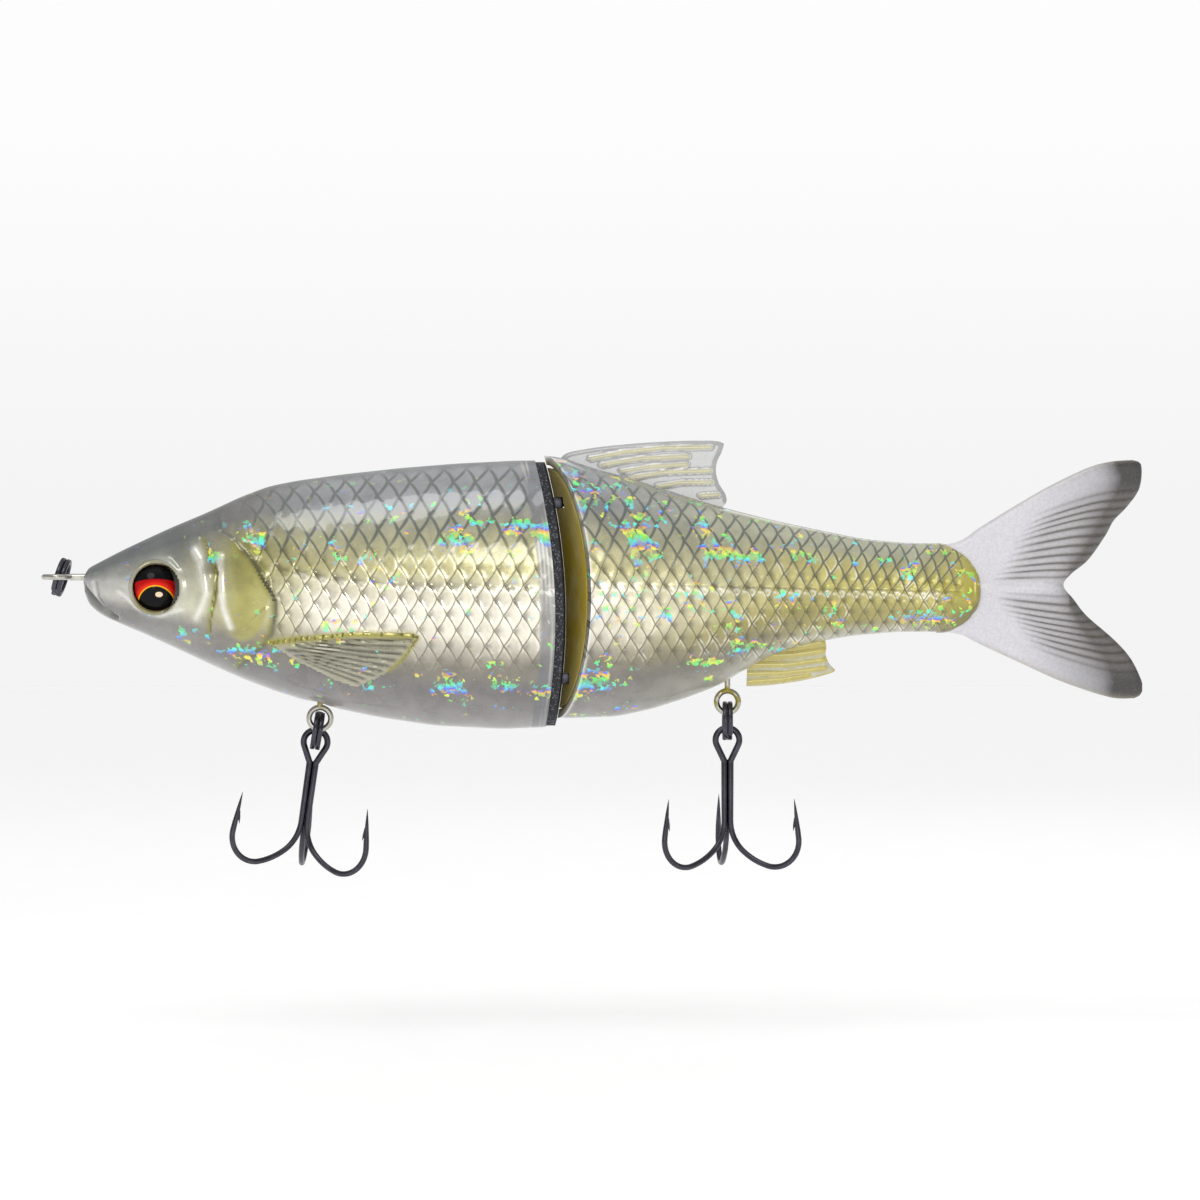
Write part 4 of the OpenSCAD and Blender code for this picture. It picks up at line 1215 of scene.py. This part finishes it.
def tail_colour(x, z, s, t):
    pearl, shadow, dark, tan = srgb("d3d1d6"), srgb("8f8b87"), srgb("3b3837"), srgb("a59e8e")
    reach = tail_reach(s, t)
    rear_edge = near_line(x, z, tail_edges[3])[0]
    lower = (1 - step(t, 0.44, 0.5))
    smoke = step(x, 166, 186) * 0.55 * (0.5 + 0.5 * lower) + 0.6 * hill(rear_edge, 5.0) * step(x, 174, 182)
    smoke += 0.6 * hill(rear_edge, 2.0) + 0.35 * step(x, 182, 188)
    smoke = np.clip(smoke * (1 - 0.5 * hill(t - 0.47, 0.08) * (x < 177)), 0, 1)
    groove = (1 - tail_rays(s, t)) * reach
    colour = pearl[None, None] * (1 - smoke[..., None]) + dark * smoke[..., None]
    brown = np.clip(0.9 * groove, 0, 1)[..., None]
    colour = colour * (1 - brown) + srgb("4a443a") * brown
    crest = np.clip(tail_rays(s, t) * reach * 0.35, 0, 1)[..., None]
    colour = colour * (1 - crest) + shadow * crest
    lead = (0.5 * hill(t, 0.02) + 0.3 * hill(t - 1, 0.02))[..., None] * step(x, 158, 164)[..., None]
    return colour * (1 - lead) + tan * lead


tail_finish, tree, shader = new_finish("pearl_rubber")
place = add(tree, "TexCoord").outputs["Object"]
tint = add(tree, "Attribute", attribute_name="paint").outputs["Color"]
pearl = add(tree, "TexNoise", {"Vector": place, "Scale": 2200.0, "Detail": 3.0}).outputs[0]
spray = add(tree, "TexNoise", {"Vector": place, "Scale": 5200.0, "Detail": 1.0}).outputs[0]
tone = graded(tree, pearl, 0.35, 0.65, 0.94, 1.05)
mixed = blended(
    tree, 1.0, tint, add(tree, "CombineColor", {0: tone, 1: tone, 2: tone}).outputs[0], "MULTIPLY"
)
mixed = blended(
    tree, sums(tree, "MULTIPLY", graded(tree, spray, 0.66, 0.74), 0.15), mixed, rgba("f2f1f4")
)
tree.links.new(mixed, shader.inputs["Base Color"])
tree.links.new(graded(tree, pearl, 0.3, 0.7, 0.3, 0.42), shader.inputs["Roughness"])
shader.inputs["Subsurface Weight"].default_value = 0.2
shader.inputs["Subsurface Radius"].default_value = (1.0, 0.9, 0.8)
shader.inputs["Subsurface Scale"].default_value = 1.2 * mm
shader.inputs["Coat Weight"].default_value = 0.5
shader.inputs["Coat Roughness"].default_value = 0.18
bump = add(tree, "Bump", {"Strength": 0.2, "Distance": 0.05 * mm, "Height": pearl})
tree.links.new(bump.outputs[0], shader.inputs["Normal"])
tail = fin_sheet("soft_tail", tail_edges, 75 * fine, 120 * fine, tail_thickness, tail_colour)
tail.data.materials.append(tail_finish)
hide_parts("tail_root", "tail_fin")
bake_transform(tail)

# ---- Split rings ------------------------------------------------------------------------------
# Each ring is nearly two turns of flattened hard wire lying against each other, with a
# short step where one turn crosses over to become the other.
ring_r, ring_band, ring_width = 3.4, 0.9, 1.8
ring_steps, ring_turns = 132, 1.88


def piece_from(bm, name):
    mesh = bpy.data.meshes.new(name)
    bmesh.ops.scale(bm, vec=(mm, mm, mm), verts=bm.verts)
    bmesh.ops.remove_doubles(bm, verts=bm.verts[:], dist=0.002 * mm)
    bmesh.ops.recalc_face_normals(bm, faces=bm.faces[:])
    bm.to_mesh(mesh)
    bm.free()
    piece = bpy.data.objects.new(name, mesh)
    bpy.context.scene.collection.objects.link(piece)
    mesh.shade_smooth()
    mesh.set_sharp_from_angle(angle=math.radians(48))
    return piece


def split_ring(name, frame_at, node, body):
    bm = bmesh.new()
    made = bmesh.ops.create_circle(
        bm, segments=14, radius=1, matrix=Matrix.Rotation(math.pi / 2, 4, "X")
    )
    loop = made["verts"]
    for v in loop:
        squarer = [math.copysign(abs(part) ** 0.55, part) for part in (v.co.x, v.co.z)]
        v.co = (
            ring_r - ring_band / 2 + squarer[0] * ring_band / 2, 0, squarer[1] * ring_width / 4 * 0.96
        )
    edges = list({e for v in loop for e in v.link_edges})
    bmesh.ops.spin(
        bm, geom=loop + edges, cent=(0, 0, 0), axis=(0, 0, 1), angle=2 * math.pi * ring_turns,
        steps=ring_steps
    )
    bm.verts.ensure_lookup_table()
    for number, v in enumerate(bm.verts):
        turn = number // len(loop) / ring_steps * ring_turns
        over = min(max((turn - 0.87) / 0.14, 0), 1)
        v.co.z += (over * over * (3 - 2 * over) - 0.5) * ring_width / 2
    bmesh.ops.holes_fill(bm, edges=[e for e in bm.edges if len(e.link_faces) == 1], sides=0)
    bmesh.ops.transform(bm, matrix=frame_at, verts=bm.verts)
    ring = piece_from(bm, name)
    ring.data.materials.append(nickel_finish)
    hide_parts(node)
    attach(ring, body)


def turn_y(degrees):
    return Matrix.Rotation(math.radians(degrees), 4, "Y")


def turn_x(degrees):
    return Matrix.Rotation(math.radians(degrees), 4, "X")


def hung_below(at, drop, tilt, lean=0):
    tilt, lean = math.radians(tilt), math.radians(lean)
    return at - drop * Vector(
        (math.sin(tilt), -math.cos(tilt) * math.sin(lean), math.cos(tilt) * math.cos(lean))
    )


ring_mid = ring_r - ring_band / 2
front_ring_at = hung_below(Vector((46, 0, -24.25)), ring_mid, 10, 25)
front_pivot = hung_below(front_ring_at, ring_mid, 10, 25)
rear_ring_at = hung_below(Vector((117.3, 0, -22.18)), ring_mid, 0)
rear_pivot = hung_below(rear_ring_at, ring_mid, 0)
split_ring(
    "nose_split_ring", Matrix.Translation((0.3, 3.35, 0)) @ turn_y(107), "line_ring", "nose_ring"
)
# The front ring is turned half round in its own plane, so its step stays clear of the hanger.
half_round = Matrix.Rotation(math.pi, 4, "Z")
front_frame = Matrix.Translation(front_ring_at) @ turn_x(25) @ turn_y(100) @ half_round
split_ring("front_split_ring", front_frame, "front_ring", "front_ring")
split_ring("rear_split_ring", Matrix.Translation(rear_ring_at) @ turn_y(90), "rear_ring", "rear_ring")

# ---- Treble hooks -------------------------------------------------------------------------------
# Three barbed hooks of round wire brazed side by side and plated in black nickel. Two of
# them are one wire, bent over at the top to make the eye; the third stands behind.
hook_wire, hook_eye, leg_drop, shank = 0.56, 2.09, 3.7, 10.4
shank_off = (2 * hook_wire - 0.03) / math.sqrt(3)
bends = [(7, 0, 50), (12, 50, 75), (4.6, 75, 187)]
wire_sides = 18


def start_wire(bm, at, heading, r):
    turn = Vector(heading).to_track_quat("Z", "Y").to_matrix().to_4x4()
    made = bmesh.ops.create_circle(
        bm, segments=wire_sides, radius=r, matrix=Matrix.Translation(at) @ turn
    )
    return made["verts"] + list({e for v in made["verts"] for e in v.link_edges})


def draw_wire(bm, end, way, thinner=1.0):
    """Draws the end of a wire out along a vector, thinner or thicker by a factor."""
    made = bmesh.ops.extrude_edge_only(bm, edges=[e for e in end if isinstance(e, bmesh.types.BMEdge)])
    verts = [v for v in made["geom"] if isinstance(v, bmesh.types.BMVert)]
    own = set(verts)
    edges = [e for e in made["geom"] if isinstance(e, bmesh.types.BMEdge) and set(e.verts) <= own]
    bmesh.ops.translate(bm, verts=verts, vec=way)
    centre = sum((v.co for v in verts), Vector()) / len(verts)
    bmesh.ops.scale(bm, vec=(thinner,) * 3, verts=verts, space=Matrix.Translation(-centre))
    return verts + edges


def bend_wire(bm, end, centre, degrees, steps):
    made = bmesh.ops.spin(
        bm, geom=end, cent=centre, axis=(0, -1, 0), angle=math.radians(degrees), steps=steps
    )
    return made["geom_last"]


def close_wire(bm, end):
    bmesh.ops.contextual_create(bm, geom=[e for e in end if isinstance(e, bmesh.types.BMEdge)])


def prong(bm):
    """One hook of the three, in its own XZ plane."""
    end = start_wire(bm, (shank_off, 0, -leg_drop + 0.25), (0, 0, -1), hook_wire * 0.55)
    close_wire(bm, end)
    end = draw_wire(bm, end, (0, 0, -0.12), 1.6)
    end = draw_wire(bm, end, (0, 0, -0.2), 1.13)
    end = draw_wire(bm, end, (0, 0, 0.07 - shank), 0.9)
    at = Vector((shank_off, 0, -leg_drop - shank))
    for r, start, finish in bends:
        a, b = math.radians(start), math.radians(finish)
        centre = at + r * Vector((math.cos(a), 0, math.sin(a)))
        end = bend_wire(bm, end, centre, finish - start, max(6, (finish - start) // 4))
        at = centre - r * Vector((math.cos(b), 0, math.sin(b)))
    way = Vector((math.sin(b), 0, -math.cos(b)))
    inner = Vector((-abs(math.cos(b)), 0, math.sin(b)))
    for length, thinner in (
        (1.2, 0.97), (1.5, 0.82), (1.5, 0.74), (1.2, 0.64), (0.9, 0.5), (0.45, 0.36), (0.15, 0.4)
    ):
        end = draw_wire(bm, end, way * length, thinner)
    close_wire(bm, end)
    barb_way = Vector(inner * 0.72 - way * 2.2)
    barb = start_wire(bm, at + way * 3.5 + inner * 0.16, barb_way, 0.28)
    close_wire(bm, barb)
    barb = draw_wire(bm, barb, barb_way * 0.55, 0.8)
    barb = draw_wire(bm, barb, barb_way * 0.45, 0.1)
    close_wire(bm, barb)


def treble(name, frame_at, node, body):
    bm = bmesh.new()
    for turn in (90, 210, 330):
        own = bmesh.new()
        prong(own)
        place = Matrix.Translation((0, shank_off / 2, 0)) @ Matrix.Rotation(math.radians(turn), 4, "Z")
        bmesh.ops.transform(own, matrix=place, verts=own.verts)
        part = bpy.data.meshes.new("prong")
        own.to_mesh(part)
        own.free()
        bm.from_mesh(part)
        bpy.data.meshes.remove(part)
    beside = shank_off * math.cos(math.radians(30))
    lean = math.asin(hook_eye / math.hypot(leg_drop, beside)) - math.atan(beside / leg_drop)
    foot = Vector((beside, 0, -leg_drop))
    leg = Vector((hook_eye * math.cos(lean), 0, -hook_eye * math.sin(lean)))
    end = start_wire(bm, foot - Vector((0, 0, 0.5)), (0, 0, 1), hook_wire)
    close_wire(bm, end)
    end = draw_wire(bm, end, (0, 0, 0.5))
    end = start_wire(bm, foot, leg - foot, hook_wire * 0.99)
    close_wire(bm, end)
    end = draw_wire(bm, end, leg - foot)
    end = bend_wire(bm, end, (0, 0, 0), 180 + 2 * math.degrees(lean), 44)
    end = draw_wire(bm, end, Vector((-foot.x, 0, foot.z)) - Vector((-leg.x, 0, leg.z)))
    close_wire(bm, end)
    for x in (beside, -beside):
        bmesh.ops.create_uvsphere(bm, u_segments=14, v_segments=8, radius=hook_wire + 0.015,
                                  matrix=Matrix.Translation((x, 0, -leg_drop)))
    bmesh.ops.transform(bm, matrix=frame_at, verts=bm.verts)
    hook = piece_from(bm, name)
    hook.data.materials.append(nickel_finish)
    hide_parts(node)
    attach(hook, body)


treble(
    "front_treble_hook", Matrix.Translation(hung_below(front_pivot, -0.6, 8)) @ turn_y(8),
    "front_treble", "front_hook"
)
rear_frame = Matrix.Translation(
    hung_below(rear_pivot, 0.4, 0)
) @ Matrix.Rotation(math.radians(5), 4, "Z")
treble("rear_treble_hook", rear_frame, "rear_treble", "rear_hook")

# ---- Table, lights and camera -----------------------------------------------------
# A plain pale table under the hanging lure, a large soft light above and in front,
# a weaker one behind, and a long lens square to the side of the body.
bm = bmesh.new()
bmesh.ops.create_grid(bm, x_segments=8, y_segments=8, size=3)
table_top = bpy.data.objects.new("table_top", bpy.data.meshes.new("table_top"))
bmesh.ops.translate(bm, verts=bm.verts, vec=(0.095, 0, cad_low.z - 0.03))
bm.to_mesh(table_top.data)
bm.free()
bpy.context.scene.collection.objects.link(table_top)
table_finish, tree, shader = new_finish("pale_table")
place = add(tree, "TexCoord").outputs["Object"]
speck = add(tree, "TexNoise", {"Vector": place, "Scale": 60.0, "Detail": 3.0}).outputs[0]
tone = graded(tree, speck, 0.3, 0.7, 0.93, 0.95)
tree.links.new(
    add(tree, "CombineColor", {0: tone, 1: tone, 2: tone}).outputs[0], shader.inputs["Base Color"]
)
shader.inputs["Roughness"].default_value = 0.7
shader.inputs["Emission Color"].default_value = (1, 1, 1, 1)
shader.inputs["Emission Strength"].default_value = 0.13
table_top.data.materials.append(table_finish)

room = bpy.data.worlds.new("room")
room.use_nodes = True
bpy.context.scene.world = room
tree = room.node_tree
tree.nodes.clear()
up = add(tree, "SeparateXYZ", {0: add(tree, "TexCoord").outputs["Generated"]}).outputs[2]
high = sums(tree, "ADD", graded(tree, up, 0.05, 0.35, 0.85, 0.38), graded(tree, up, 0.7, 1.0, 0.0, 0.5))
shiny = add(
    tree, "Background", {0: add(tree, "CombineColor", {0: high, 1: high, 2: high}).outputs[0], 1: 1.0}
)
soft = add(tree, "Background", {0: (1, 1, 1, 1), 1: 0.86})
path = add(tree, "LightPath")
lit = add(
    tree, "MixShader", {0: path.outputs["Is Glossy Ray"], 1: soft.outputs[0], 2: shiny.outputs[0]}
)
far = graded(tree, up, 0.0, 0.14, 0.9, 0.985)
plain = add(tree, "Background", {0: (1, 1, 1, 1), 1: far})
both = add(
    tree, "MixShader", {0: path.outputs["Is Camera Ray"], 1: lit.outputs[0], 2: plain.outputs[0]}
)
tree.links.new(both.outputs[0], add(tree, "OutputWorld").inputs[0])

view_centre = Vector((0.095, 0, -0.004))


def soft_light(name, at, size, power, shine):
    lamp = bpy.data.lights.new(name, "AREA")
    lamp.shape, lamp.size, lamp.energy, lamp.specular_factor = "DISK", size, power, shine
    holder = bpy.data.objects.new(name, lamp)
    holder.location = view_centre + Vector(at)
    holder.rotation_euler = (-Vector(at)).to_track_quat("-Z", "Y").to_euler()
    bpy.context.scene.collection.objects.link(holder)


soft_light("main_light", (-0.15, -0.45, 0.55), 0.35, 0.9, 0.25)
soft_light("front_light", (0.02, -0.85, 0.07), 0.2, 0.4, 0.8)
soft_light("rear_light", (0.2, 0.6, 0.5), 0.4, 0.35, 0.2)

lens = bpy.data.cameras.new("camera")
lens.sensor_width = 36
camera_distance, frame_width = 0.72, 0.21
lens.lens = 36 * camera_distance / frame_width
lens.clip_start, lens.clip_end = 0.01, 20
camera = bpy.data.objects.new("camera", lens)
camera.location = view_centre + Vector((0, -camera_distance, 0))
camera.rotation_euler = (math.pi / 2, 0, 0)
bpy.context.scene.collection.objects.link(camera)
bpy.context.scene.camera = camera
bpy.context.scene.view_settings.view_transform = "Standard"
